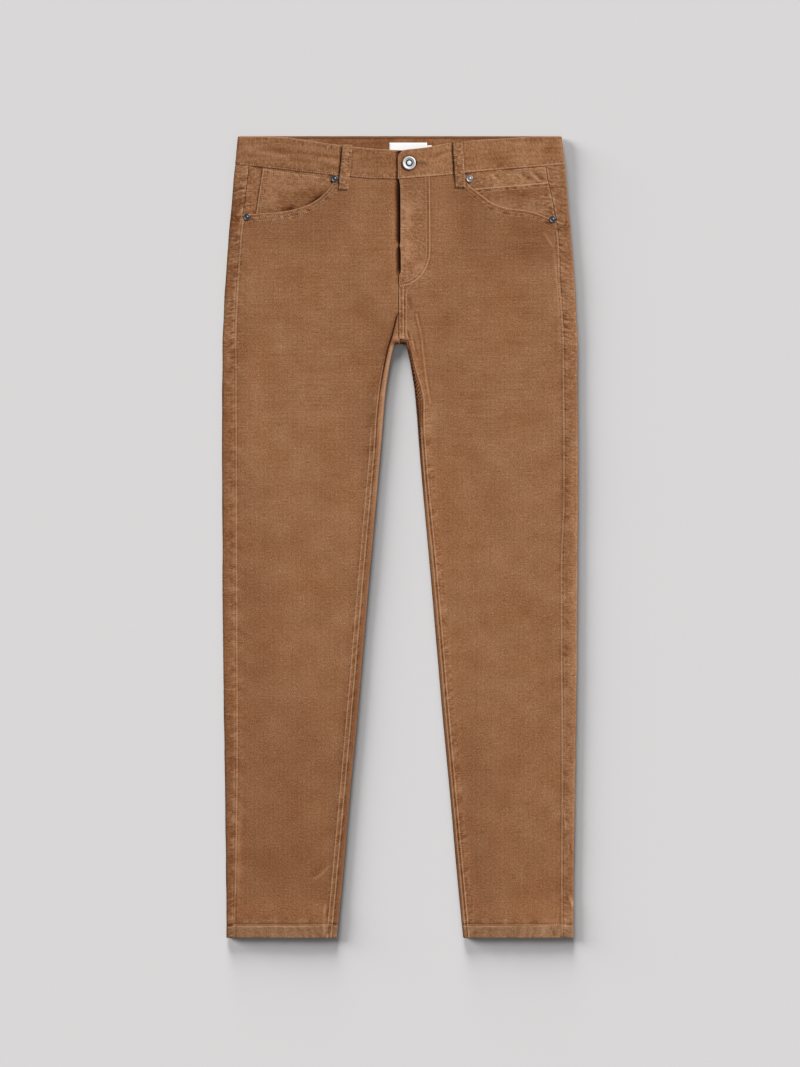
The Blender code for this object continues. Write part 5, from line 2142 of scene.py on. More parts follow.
@dataclass
class Pockets:
    """The facings in the front pockets' mouths, the coin pocket and the left patch."""

    facing_depth: float = 0.0028
    facing_rise: float = 0.0018
    ease_above: float = 0.02
    underlay: float = 0.012
    patch_underlay: float = 0.006
    patch_seat: float = 0.0004
    edge_row: float = 0.0016
    second_row: float = 0.0056
    band_rise: float = 0.0009
    patch_tone: float = 0.09
    fitting_rounds: int = 8
    facing_flat: tuple[float, float] = (0.122, 0.076)
    patch_flat: tuple[float, float] = (0.105, 0.066)

    # how much paler each facing is than the legs, or deeper below 0
    TONES = {Side.RIGHT: -0.01, Side.LEFT: 0.2}

    # start across and down, end across at the top and at the foot, end down at the top and at the foot
    COIN_POCKET = (0.0885, 0.0556, 0.1782, 0.1873, 0.043, 0.1011)
    LEFT_PATCH = (0.097, 0.0685, 0.195, 0.202, 0.0604, 0.11)

    FOLDS = {
        Side.RIGHT: folds(
            (1180, 740, 1450, 840, -6, 55, 20), (1150, 640, 1650, 700, 5, 50, -20),
            (1300, 600, 1100, 760, -4, 40, 0), (1550, 760, 1750, 900, 4, 60, 0),
        ),
        Side.LEFT: folds(
            (1660, 480, 1850, 610, 12, 24, -10), (1720, 470, 1900, 590, -11, 22, -10),
            (1560, 490, 1720, 600, -9, 24, 10), (1160, 500, 1260, 600, 9, 22, 0),
            (1220, 500, 1330, 590, -8, 24, 0), (1370, 490, 1430, 590, 8, 22, 0),
            (1490, 480, 1600, 580, 8, 24, 0), (1040, 530, 1110, 610, -7, 22, 0),
            (1300, 730, 1700, 800, -5, 60, 20),
        ),
    }

    def depth(self, side: Side, across: Array, down: Array) -> Array:
        """How far a facing's face lies under the front's: deepest at the pocket's mouth."""
        above = ease(FORM.mouth[side](across) - down, 0.0, self.ease_above)
        return self.facing_depth - self.facing_rise * above

    def relief(self, side: Side, across: Array, down: Array) -> Relief:
        """The small forms inside a pocket's mouth, with the shadow painted under the mouth's edge.

        Args:
            side: The wearer's side.
            across: Places across.
            down: Places down.

        Returns:
            The forms there.
        """
        r = Relief(across, down)
        key = 101 if side is Side.LEFT else 105
        soft = Unevenness(key)(r.across / 0.014, r.down / 0.011)
        r.add(0.0003 * soft, 0.2 * soft)
        # each fold gets painted light on a ridge and painted shade in a trough
        for fold in self.FOLDS[side]:
            r.fold(fold, 0.22 if fold.rise > 0 else (-0.16 if side is Side.RIGHT else -0.34))
        to_seam = FORM.side_seam(side, r.down) - r.across
        r.puckers(to_seam, r.down, 0.00035, 0.008, 0.006, key + 1, 0.3, 0.3)
        to_band = r.down - FORM.band_seam[side](r.across)
        r.puckers(to_band, r.across, 0.0003, 0.006, 0.007, key + 2, 0.3, 0.2)
        r.crush(0.55 + 0.4 * hump(to_seam, 0.0, 0.012))
        # painted shadow of the mouth's edge on the facing, deepest at its corner
        above = FORM.mouth[side](r.across) - r.down
        r.groove(above, 0.0, 0.003, 0.26 if side is Side.RIGHT else 0.1)
        corner = np.exp(-(((r.across - 0.108) / 0.011) ** 2) - ((above / 0.007) ** 2))
        r.add(0.0, (-0.9 if side is Side.RIGHT else -0.2) * corner)
        if side is Side.RIGHT:
            _, _, end_top, end_foot, top_down, foot_down = self.COIN_POCKET
            end = end_top + (end_foot - end_top) * (r.down - top_down) / (foot_down - top_down)
            # painted shadow beside the coin pocket's edge, and a broad painted shadow under the mouth
            r.groove(r.across - end - 0.0008, 0.0001, 0.0007, 0.62)
            painted_mouth_shadow = np.exp(-(((r.across - 0.143) / 0.008) ** 2) - (((above - 0.002) / 0.0045) ** 2))
            r.add(0.0, -0.85 * painted_mouth_shadow)
        else:
            # painted highlight beside the side seam
            r.groove(to_seam - 0.0012, -0.0001, 0.0008, -0.6)
        return r

    def facing(self, side: Side, finish: Material) -> Piece:
        """The facing that shows in the pocket's mouth and goes on under the panel.

        Args:
            side: The wearer's side.
            finish: The cloth's material.

        Returns:
            The finished piece.
        """
        start = FORM.mouth_start[side] - 0.003
        share = spread((0.0, 0.006), (0.02, 0.0125), (0.94, 0.006), (1.0, 0.0))[None, :]
        t = spread((0.0, 0.01), (0.04, 0.024), (1.0, 0.0))[:, None]
        down = 0.05 + 0.05 * t + 0 * share
        across = 0 * down
        for _ in range(self.fitting_rounds):
            end = FORM.side_seam(side, down) - FORM.gap
            across = start + (end - start) * share
            top = FORM.band_seam[side](across) + FORM.gap / 2
            down = top + (FORM.mouth[side](across) + self.underlay - top) * t
        relief = self.relief(side, across, down)
        reach = 0.004 if side is Side.RIGHT else 0.01
        raised = self.band_rise * (1 - ease(down - top, 0.0005, reach))
        deep = self.depth(side, across, down)
        beside = (deep - 0.0004) * (1 - ease(end - across, 0.001, 0.015))
        height = FORM.top(side, across, down) - deep + np.maximum(raised, beside)
        base = FORM.point(side, across, down, height)
        edge = np.maximum(roll_off(down - top, 0.0005), roll_off(end - across, 0.0004))
        weave = np.stack([across * side.value, down], axis=-1)
        tone = self.TONES[side]
        cloth = Cloth(f"cloth_facing_{side.word}", base, side, FORM.facing, weave, relief, edge, tone)
        return cloth.piece(finish, self.facing_flat, (f"cloth_back_{side.word}",))

    def patch_places(self, side: Side, share: Array, t: Array) -> tuple[Array, Array, Array, Array]:
        """(across, down, top, end) of a patch's grid.

        Args:
            side: The wearer's side.
            share: Shares of the way across.
            t: Shares of the way down.

        Returns:
            The four grids.
        """
        start, start_top, end_top, end_foot, top_down, foot_down = (
            self.COIN_POCKET if side is Side.RIGHT else self.LEFT_PATCH
        )
        top = start_top + (top_down - start_top) * share
        across = start + (end_top - start) * share + 0 * t
        down = top + 0 * t
        end = across
        for _ in range(self.fitting_rounds):
            down = top + (np.maximum(FORM.mouth[side](across) + self.patch_underlay, top + 0.0024) - top) * t
            lean = (down - top) / (foot_down - top_down)
            end = np.minimum(end_top + (end_foot - end_top) * lean, FORM.side_seam(side, down) - FORM.gap)
            across = start + (end - start) * share
        return across, down, top + 0 * t, end

    def patch(self, side: Side, name: str, finish: Material) -> Piece:
        """A patch sewn on the facing: the coin pocket on the right, a turned edge on the left.

        Args:
            side: The wearer's side.
            name: The piece's name.
            finish: The cloth's material.

        Returns:
            The finished piece.
        """
        share = spread((0.0, 0.013), (0.93, 0.008), (0.98, 0.004), (1.0, 0.0))[None, :]
        t = spread((0.0, 0.006), (0.03, 0.02), (1.0, 0.0))[:, None]
        across, down, top, end = self.patch_places(side, share, t)
        relief = self.relief(side, across, down)
        from_top, from_end = down - top, end - across
        right = side is Side.RIGHT
        # painted shade in the rows' grooves, and a painted highlight on the top and end edges
        sunk, dark = (0.0, 0.38) if right else (0.0012, 0.14)
        for row in (self.edge_row, self.second_row):
            relief.groove(from_top - row - sunk, 0.00022, 0.0009, dark)
            if right:
                relief.groove(from_end - row, 0.00022, 0.0009, dark)
        relief.groove(from_top - 0.0006, -0.0001, 0.0009, -0.5 if right else -1.1)
        if right:
            relief.groove(from_end - 0.0005, -0.0001, 0.001, -0.8)
            relief.crush(0.8 * hump(from_end, 0.0, 0.008))
        relief.crush(0.8 * hump(from_top, 0.0, 0.008))
        noise = Unevenness(111)(across / 0.0023, down / 0.0023)
        near = hump(from_top, 0.0035, 0.003)
        relief.add(0.00024 * noise * near, 0.42 * noise * near)
        depth = self.depth(side, across, down) - self.patch_seat - FORM.patch
        base = FORM.point(side, across, down, FORM.top(side, across, down) - depth)
        edge = np.maximum(roll_off(from_top, 0.0006), roll_off(from_end, 0.0005))
        weave = np.stack([across * side.value + 0.3, down], axis=-1)
        tone = 0.0 if right else self.patch_tone
        cloth = Cloth(f"cloth_{name}", base, side, FORM.patch, weave, relief, edge, tone)
        return cloth.piece(finish, self.patch_flat, (f"cloth_facing_{side.word}",))

    def sew(self, side: Side, sewing: Sewing) -> None:
        """Notes the rows of stitches round a pocket's mouth and on its patch.

        Args:
            side: The wearer's side.
            sewing: The book that the lines are noted in.
        """
        mouth = FACE.mouth_line(side)
        for row in FACE.mouth_rows:
            line = beside(mouth, -row)
            keep = (line[:, 0] < FORM.side_seam(side, line[:, 1]) - 0.003) & (
                line[:, 1] > FORM.band_seam[side](line[:, 0]) + 0.002
            )
            sewing.stitch("pockets", FACE.lay(side, line[keep]))
        fine = np.linspace(0.02, 0.985, 90)
        for row in (self.edge_row, self.second_row):
            across, _, top, _ = self.patch_places(side, fine[None, :], np.zeros((1, 1)))
            across, down = across[0], top[0] + row
            keep = down < FORM.mouth[side](across) - 0.001
            self.on_patch(side, across[keep], down[keep], sewing)
            if side is Side.RIGHT:
                t = np.linspace(0.0, 1.0, 60)[:, None]
                across, down, top, _ = self.patch_places(side, np.ones((1, 1)), t)
                across, down = across[:, 0] - row, down[:, 0]
                keep = (down < FORM.mouth[side](across) - 0.001) & (down > top[:, 0] + 0.001)
                self.on_patch(side, across[keep], down[keep], sewing)

    def on_patch(self, side: Side, across: Array, down: Array, sewing: Sewing) -> None:
        """Notes one row of stitches on a patch.

        Args:
            side: The wearer's side.
            across: Places across.
            down: Places down.
            sewing: The book that the lines are noted in.
        """
        depth = self.depth(side, across, down) - self.patch_seat - FORM.patch
        height = FORM.top(side, across, down) - depth + self.relief(side, across, down).rise
        sewing.stitch("pockets", FORM.point(side, across, down, height - 0.0001))


@dataclass
class Waistband:
    """The doubled band round the waist, its buttonhole and its belt loops."""

    edge_row: float = 0.0019
    roll: float = 0.0006
    button_across: float = 0.012
    button_down: float = 0.036
    eye_radius: float = 0.0029
    eye_end: float = 0.0205
    eye_mouth: float = 20.0
    eye_steps: int = 24
    slit: float = 0.00012
    buttonhole_end: float = 0.038
    corner: tuple[float, float] = (0.013, 0.0105)
    loop_width: float = 0.013
    loop_seat: float = 0.0006
    loop_arch: float = 0.0012
    loop_foot_down: float = 0.052
    loop_tone: float = 0.01
    loop_rows: tuple[float, float] = (-0.0045, 0.0045)
    loop_edges: tuple[float, float] = (-0.0063, 0.0063)
    fold_start: float = 0.2075
    front_end: float = 0.207
    arc_steps: int = 15
    band_flat: tuple[float, float] = (0.0395, 0.872)
    front_loop_flat: tuple[float, float] = (0.013, 0.061)
    back_loop_flat: tuple[float, float] = (0.013, 0.052)

    # across at the top and at the foot, down at the top and at the foot
    LOOPS = {Side.RIGHT: (0.068, 0.0735, 0.0118, 0.0702), Side.LEFT: (0.0748, 0.0788, 0.008, 0.0676)}
    BACK_LOOPS = {"right": -0.125, "centre": 0.0, "left": 0.125}
    BACK_ROWS = (0.0024, 0.0358)

    FOLDS = {
        Side.RIGHT: folds(
            (1500, 165, 760, 310, -5, 22, 10), (1650, 90, 900, 220, 4, 28, 10),
            (1900, 80, 1450, 240, -4, 40, 0), (2060, 60, 1900, 260, 5, 50, 0),
            (2000, 180, 1350, 310, 3, 30, 10), (1100, 260, 770, 400, 3, 30, 0),
            (560, 250, 200, 330, -3, 35, 0),
        ),
        Side.LEFT: folds(
            (700, 180, 350, 300, -4, 30, 0), (680, 230, 380, 350, 3, 30, 0),
            (1700, 80, 1250, 200, 3, 50, 0), (2060, 80, 1800, 250, -4, 45, 0),
            (1500, 200, 1000, 300, -3, 50, 0),
        ),
    }

    def corner_drop(self, side: Side, across: Array) -> Array:
        """The left end's upper corner is rounded.

        Args:
            side: The wearer's side.
            across: Places across.

        Returns:
            How far the edge falls at each place.
        """
        if side is Side.RIGHT:
            return 0.0 * across
        near = 1 - np.clip((across - FORM.band_end) / self.corner[0], 0.0, 1.0)
        return self.corner[1] * (1 - np.sqrt(1 - near**2))

    def station(self, side: Side, part: Part, shares: Array, t: Array) -> tuple[Array, Array, Array]:
        """(across, down, height) of one part of the band's outer face.

        Args:
            side: Which half of the band.
            part: The front, the fold at the side or the flat back.
            shares: Places across on the front, angles on the fold, shares on the back.
            t: Shares of the way down the band.

        Returns:
            The three grids.
        """
        shares = shares[None, :]
        if part is Part.FRONT:
            top = FORM.band_top[side](np.abs(shares)) + self.corner_drop(side, shares)
            bottom = FORM.band_seam[side](np.abs(shares)) - FORM.gap / 2
            down = top + (bottom - top) * t
            fold = FORM.outer(down) - (FORM.band_height(side, FORM.outer(down)) - FORM.band_lift) / 2
            near = ease(shares, 0.185, self.fold_start)
            across = shares + (fold - self.fold_start) * near
            return across, down, FORM.band_height(side, np.abs(shares)) + 0 * down
        turned_share = (math.pi / 2 - shares) / math.pi if part is Part.OUTER_FOLD else 1.0 + 0 * shares
        bottom = FORM.back_band - FORM.gap / 2
        top = FORM.band_top[side](FORM.half_waist) * (1 - turned_share)
        down = top + (bottom - top) * t
        outer = FORM.outer(down)
        radius = (FORM.band_height(side, outer) - FORM.band_lift) / 2
        if part is Part.OUTER_FOLD:
            return (
                outer - radius + radius * np.cos(shares),
                down,
                FORM.band_lift + radius + radius * np.sin(shares),
            )
        return (outer - radius) * (1 - shares), down, FORM.band_lift + 0 * down

    def relief(self, side: Side, across: Array, down: Array) -> Relief:
        """The small forms of the band's front, with light and shade painted on them.

        Args:
            side: The wearer's side.
            across: Places across.
            down: Places down.

        Returns:
            The forms there.
        """
        r = Relief(across, down)
        top = FORM.band_top[side](np.abs(r.across)) + self.corner_drop(side, r.across)
        bottom = FORM.band_seam[side](np.abs(r.across))
        r.add(0.0004 * Unevenness(121)(side.value * r.across / 0.03, (r.down - top) / 0.012))
        cloud = Unevenness(122)(side.value * r.across / 0.012, (r.down - top) / 0.0065)
        r.add(0.00022 * cloud, 0.1 * cloud)
        streak = Unevenness(124)(side.value * r.across / 0.022, (r.down - top) / 0.0022)
        r.add(0.0001 * streak, 0.16 * streak)
        # each fold gets painted light on a ridge and painted shade in a trough
        for fold in self.FOLDS[side]:
            r.fold(fold, 0.2 if fold.rise > 0 else -0.16)
        from_top, from_seam = r.down - top, bottom - r.down
        # the rows' grooves get painted shade, and on the left the lower one a painted highlight
        lower = 0.34 if side is Side.RIGHT else -0.5
        for row, dark in ((from_top - self.edge_row, 0.4), (from_seam - self.edge_row, lower)):
            r.groove(row, 0.0003, 0.0009, dark)
            r.puckers(row, side.value * r.across, 0.0002, 0.003, 0.005, 123, 0.2, 0.32)
            r.crush(0.35 + 0.45 * hump(row, 0.0, 0.0035))
        # painted highlight on the top edge, and painted shade along the seam
        r.groove(from_top, -0.00005, 0.0011, -0.9)
        r.groove(from_seam, 0.0001, 0.0007, 0.16)
        if side is Side.RIGHT:
            # painted shadow where the left end laps over the right one
            gap = 1 - ease(r.across, 0.0036, 0.0066)
            r.add(-0.0003 * gap, -1.0 * gap)
        else:
            # painted highlight on the left end's edge
            r.groove(r.across - FORM.band_end, -0.00005, 0.0012, -0.75)
            r.groove(r.across - FORM.band_end - FACE.flap_row, 0.0002, 0.0009, 0.1)
        top_across, foot_across, top_down, foot_down = self.LOOPS[side]
        middle = top_across + (foot_across - top_across) * (r.down - top_down) / (foot_down - top_down)
        # painted shadow beside the belt loop
        beside_loop = (r.across - middle) * side.value + self.loop_width / 2 + 0.0007
        r.groove(beside_loop, 0.0, 0.0013, 1.05)
        r.groove(beside_loop - self.loop_width - 0.0012, 0.0, 0.001, 0.25)
        # painted shade in the dip round the buttonhole, and a painted shadow ring round the button
        hole = np.hypot((r.across - 0.03) / 1.6, r.down - self.button_down)
        r.groove(hole, 0.0002, 0.004, 0.12)
        if side is Side.LEFT:
            from_button = np.hypot(r.across - self.button_across, r.down - self.button_down)
            r.groove(from_button - 0.0091, 0.0002, 0.0012, 0.85)
        return r

    def band(self, finish: Material) -> Piece:
        """The band in one piece, from its right end round the back to its left end.

        Args:
            finish: The cloth's material.

        Returns:
            The finished piece.
        """
        t = spread((0.0, 0.012), (0.05, 0.0275), (0.95, 0.012), (1.0, 0.0))[:, None]
        arc = np.linspace(math.pi / 2, -math.pi / 2, self.arc_steps)
        halves = []
        for side, end in ((Side.RIGHT, FORM.band_underlap), (Side.LEFT, FORM.band_end)):
            front = spread(
                (end, 0.0004),
                (end + 0.0012, 0.001),
                (end + 0.006, 0.0019),
                (0.204, 0.0012),
                (self.front_end, 0.0),
            )
            flat = spread((0.0, 0.018), (1.0, 0.0))[1:-1]
            if side is Side.LEFT:
                flat = np.append(flat, 1.0)
            blocks = {Part.FRONT: front, Part.OUTER_FOLD: arc, Part.FLAT: flat}
            rows = [self.station(side, part, shares, t) for part, shares in blocks.items()]
            across, down, height = (np.hstack([row[i] for row in rows]) for i in range(3))
            relief = self.relief(side, across, down)
            count, back = len(front), len(front) + len(arc)
            fade = np.ones(across.shape)
            fade[:, count:back] = (1 + np.sin(arc)[None, :]) / 2
            fade[:, back:] = 0.0
            under = Unevenness(125)(across / 0.03, down / 0.012)
            rise = relief.rise * fade - 0.0002 * (1 + under) / 2 * (1 - fade)
            wear = relief.wear * fade
            inside = np.zeros(across.shape)
            inside[:, back:] = 1.0
            # inside the back band: a painted highlight on the top edge, a row of painted shadow between the
            # stitches below it, and a darker, uneven tone
            row = 1.25 * hump(down, 0.0019, 0.0009) * (1 + 0.3 * Unevenness(127)(across / 0.009, 0.5))
            shade = 0.2 * Unevenness(126)(across / 0.016, down / 0.006)
            inside_painted_light_and_tone = (0.45 * hump(down, 0.0, 0.0007) - row - 0.15 + shade) * inside
            ends = np.full(across.shape, 1.0)
            ends[:, :count] = across[:, :count] - end
            crumple = relief.crumple * fade + 0.45 * inside
            place = FORM.point(side, across, down, height)
            block = [place, rise, wear + inside_painted_light_and_tone, crumple, down, ends, across]
            halves.append([a if side is Side.RIGHT else a[:, ::-1] for a in block])
        joined = (np.concatenate(pair, axis=1) for pair in zip(*halves))
        base, rise, wear, crumple, down, ends, across = joined
        relief = Relief(across, down)
        relief.rise, relief.wear, relief.crumple = rise, wear, crumple
        top, bottom = down[:1], down[-1:]
        edge = np.maximum.reduce(
            [roll_off(down - top, self.roll), roll_off(bottom - down, self.roll), roll_off(ends, self.roll)]
        )
        steps = np.linalg.norm(np.diff(base, axis=1), axis=-1)
        way = np.concatenate([np.zeros((len(base), 1)), np.cumsum(steps, axis=1)], axis=1)
        weave = np.stack([down - top + 0.7, way], axis=-1)
        paler = 0.02 + 0.105 * np.clip(base[..., 0] / 0.03, -1, 1)
        cloth = Cloth("cloth_waistband", base, Side.RIGHT, FORM.band, weave, relief, edge, paler, 2)
        cloth.kept_rows = range(10)
        piece = cloth.piece(finish, self.band_flat, ("cloth_yoke_right",))
        cut_out(piece.made, self.keyhole(), 0.004, 0.02)
        return piece

    def keyhole(self) -> list[tuple[float, float]]:
        """The buttonhole's outline: a round eye round the shank, and a slit towards the side.

        Returns:
            The corners in order.
        """
        y = FORM.length / 2 - self.button_down
        eye = []
        for step in range(self.eye_steps + 1):
            angle = math.radians(self.eye_mouth + (360 - 2 * self.eye_mouth) * step / self.eye_steps)
            centre = self.button_across if abs(angle - math.pi) < math.pi / 2 else self.eye_end
            eye.append((centre + self.eye_radius * math.cos(angle), y + self.eye_radius * math.sin(angle)))
        return [*eye, (self.buttonhole_end, y - self.slit), (self.buttonhole_end, y + self.slit)]

    def front_loop(self, side: Side, finish: Material) -> Piece:
        """A belt loop over the front waistband, sewn down above it and on the panel below it.

        Args:
            side: The wearer's side.
            finish: The cloth's material.

        Returns:
            The finished piece.
        """
        t = spread((0.0, 0.008), (0.05, 0.018), (0.95, 0.008), (1.0, 0.0))[:, None]
        half = spread((-0.5, 0.025), (-0.4, 0.067), (0.4, 0.025), (0.5, 0.0))[None, :]
        across, down, height = self.loop_face(side, t, half)
        relief = Relief(half * self.loop_width + 0 * t, down)
        # painted shade in the rows' grooves
        for row in self.loop_rows:
            relief.groove(relief.across - row, 0.0002, 0.0008, 0.62)
            relief.puckers(relief.across - row, down, 0.0002, 0.0026, 0.0046, 131 + side.value, 0.0, 0.5)
        cloud = Unevenness(133 + side.value)(half * 2.1 + 0 * t, down / 0.0055)
        relief.add(0.00026 * cloud, 0.26 * cloud)
        relief.crush(1.0 + 0 * down)
        # painted highlight along the loop's edges
        for end in self.loop_edges:
            relief.groove(relief.across - end, -0.0001, 0.0009, -0.3)
        base = FORM.point(side, across, down, height)
        ends = np.minimum(down - down[:1], down[-1:] - down)
        sides = (0.5 - np.abs(half + 0 * t)) * self.loop_width
        edge = np.maximum(roll_off(ends, 0.0009), roll_off(sides, 0.001))
        weave = np.stack([across * side.value + 0.5, down], axis=-1)
        name, tone = f"cloth_belt_loop_front_{side.word}", self.loop_tone
        cloth = Cloth(name, base, side, FORM.cloth, weave, relief, edge, tone)
        return cloth.piece(finish, self.front_loop_flat, ("cloth_waistband",))

    def loop_face(self, side: Side, t: Array, half: Array) -> tuple[Array, Array, Array]:
        """(across, down, height) of a front loop's face.

        Args:
            side: The wearer's side.
            t: Shares of the way down.
            half: Shares of the width, from its middle.

        Returns:
            The three grids.
        """
        across_top, across_foot, down_top, down_foot = self.LOOPS[side]
        down = down_top + (down_foot - down_top) * t + 0 * half
        across = across_top + (across_foot - across_top) * t + half * self.loop_width
        over = 1 - ease(down - FORM.band_seam[side](across), 0.0, 0.004)
        panel = FORM.top(side, across, down)
        under = panel + (FORM.band_height(side, across) - panel) * over
        arch = self.loop_arch * ease(t, 0.0, 0.3) * (1 - ease(t, 0.66, 1.0))
        crown = 0.0004 * (1 - (2 * half) ** 2)
        return across, down, under + self.loop_seat + FORM.cloth + arch + crown

    def back_loop(self, word: str, centre: float, finish: Material) -> Piece:
        """A belt loop on the back waistband, flat on the surface that carries the garment.

        Args:
            word: Which loop.
            centre: Where its middle lies.
            finish: The cloth's material.

        Returns:
            The finished piece.
        """
        down = spread((0.0015, 0.0012), (self.loop_foot_down, 0.0))[:, None]
        half = spread((-0.5, 0.03), (-0.38, 0.08), (0.38, 0.03), (0.5, 0.0))[None, :]
        across = centre + half * self.loop_width + 0 * down
        down = down + 0 * half
        base = FORM.point(Side.LEFT, across, down, 0 * down)[:, ::-1]
        ends = np.minimum(down - down[:1], down[-1:] - down)
        sides = (0.5 - np.abs(half + 0 * down)) * self.loop_width
        edge = np.maximum(roll_off(ends, 0.0008), roll_off(sides, 0.0009))[:, ::-1]
        weave = np.stack([across + 0.5, down], axis=-1)[:, ::-1]
        cloth = Cloth(f"cloth_belt_loop_back_{word}", base, Side.LEFT, FORM.cloth, weave, None, edge)
        return cloth.piece(finish, self.back_loop_flat)

    def sew(self, sewing: Sewing) -> None:
        """Notes the rows of stitches on the band, the buttonhole's edge and the loops.

        Args:
            sewing: The book that the lines are noted in.
        """
        for side, end in ((Side.RIGHT, 0.004), (Side.LEFT, FORM.band_end + 0.0045)):
            across = np.linspace(end, self.front_end, 160)
            top = FORM.band_top[side](across) + self.corner_drop(side, across)
            bottom = FORM.band_seam[side](across) - FORM.gap / 2
            for down in (top + self.edge_row, bottom - self.edge_row):
                self.on_band(side, across, down, "waistband", sewing)
        down = np.linspace(0.0255, 0.055, 30)
        self.on_band(Side.LEFT, np.full(30, FORM.band_end + 0.003), down, "waistband", sewing)
        across = np.linspace(-0.2, 0.2, 260)
        inside = FORM.point(Side.LEFT, across, 0.0017, FORM.band_lift + FORM.band + 0.0001)
        sewing.stitch("waistband", inside)
        for down in self.BACK_ROWS:
            under = FORM.point(Side.LEFT, across, down, FORM.band_lift - 0.0001)
            sewing.stitch("waistband_back", under)
        self.buttonhole(sewing)
        for side in Side:
            for half in (-0.345, 0.345):
                t = np.linspace(0.02, 0.98, 50)[:, None]
                across, down, height = self.loop_face(side, t, np.full((1, 1), half))
                sewing.stitch("loops", FORM.point(side, across, down, height + 0.0001)[:, 0])
            for share in (0.035, 0.955):
                across, down, height = self.loop_face(side, np.full((2, 1), share), np.array([[-0.4, 0.4]]))
                ends = FORM.point(side, across, down, height + 0.0002)[0]
                sewing.tack("loops", zigzag(ends[0], ends[1], 0.0015, 0.00042))
        for centre in self.BACK_LOOPS.values():
            for row in self.loop_rows:
                down = np.linspace(0.003, self.loop_foot_down - 0.002, 40)
                line = FORM.point(Side.LEFT, centre + row, down, -0.0001)
                sewing.stitch("waistband_back", line)

    def on_band(self, side: Side, across: Array, down: Array, place: str, sewing: Sewing) -> None:
        """Notes one row of stitches on the front of the band."""
        height = FORM.band_height(side, np.abs(across)) + self.relief(side, across, down).rise
        sewing.stitch(place, FORM.point(side, across, down, height + 0.0001))

    def buttonhole(self, sewing: Sewing) -> None:
        """Notes the close thread round the buttonhole.

        Args:
            sewing: The book that the lines are noted in.
        """
        y = FORM.length / 2 - self.button_down
        first, last = self.eye_end + self.eye_radius * 0.6, self.buttonhole_end
        for way in (-1, 1):
            ends = []
            for x in (first, last):
                height = float(FORM.band_height(Side.LEFT, np.array(x))) + 0.0001
                ends.append((x, y + way * (self.slit + 0.0007), height))
            sewing.tack("buttonhole", zigzag(ends[0], ends[1], 0.0014, 0.0004))
        x = last + 0.001
        height = float(FORM.band_height(Side.LEFT, np.array(x))) + 0.0002
        sewing.tack("buttonhole", zigzag((x, y - 0.0016, height), (x, y + 0.0016, height), 0.002, 0.0004))


@dataclass
class Labels:
    """The blank label and a small tab beside it, inside the back waistband."""

    foot: float = 0.034

    PLACES = {"label": (-0.014, 0.0352, 0.0086), "label_tab": (0.0355, 0.0415, 0.0122)}

    def build(self, name: str, finish: Material) -> Piece:
        """One label, a little uneven where it is sewn down.

        Args:
            name: The piece's name.
            finish: The cloth's material.

        Returns:
            The finished piece.
        """
        start, end, top = self.PLACES[name]
        across = np.linspace(start, end, 40)[None, :]
        down = np.linspace(top, self.foot, 24)[:, None]
        height = FORM.band_lift + FORM.band + FORM.gap + FORM.patch
        r = Relief(across, down)
        r.add(0.0001 * Unevenness(141)(r.across / 0.008, r.down / 0.005))
        base = FORM.point(Side.LEFT, r.across, r.down, np.full(r.down.shape, height))
        edge = roll_off(np.minimum(r.across - start, end - r.across), 0.0006)
        edge = np.maximum(edge, roll_off(r.down - top, 0.0006))
        weave = np.stack([r.across, r.down], axis=-1)
        made = Cloth(f"cloth_{name}", base, Side.LEFT, FORM.patch, weave, r, edge).build(finish)
        if name != "label":
            return Piece(made, name, "label")
        flat = (end - start, self.foot - top)
        return Piece(made, name, "label", flat, None, ("cloth_waistband",), ("cloth_label_tab",))


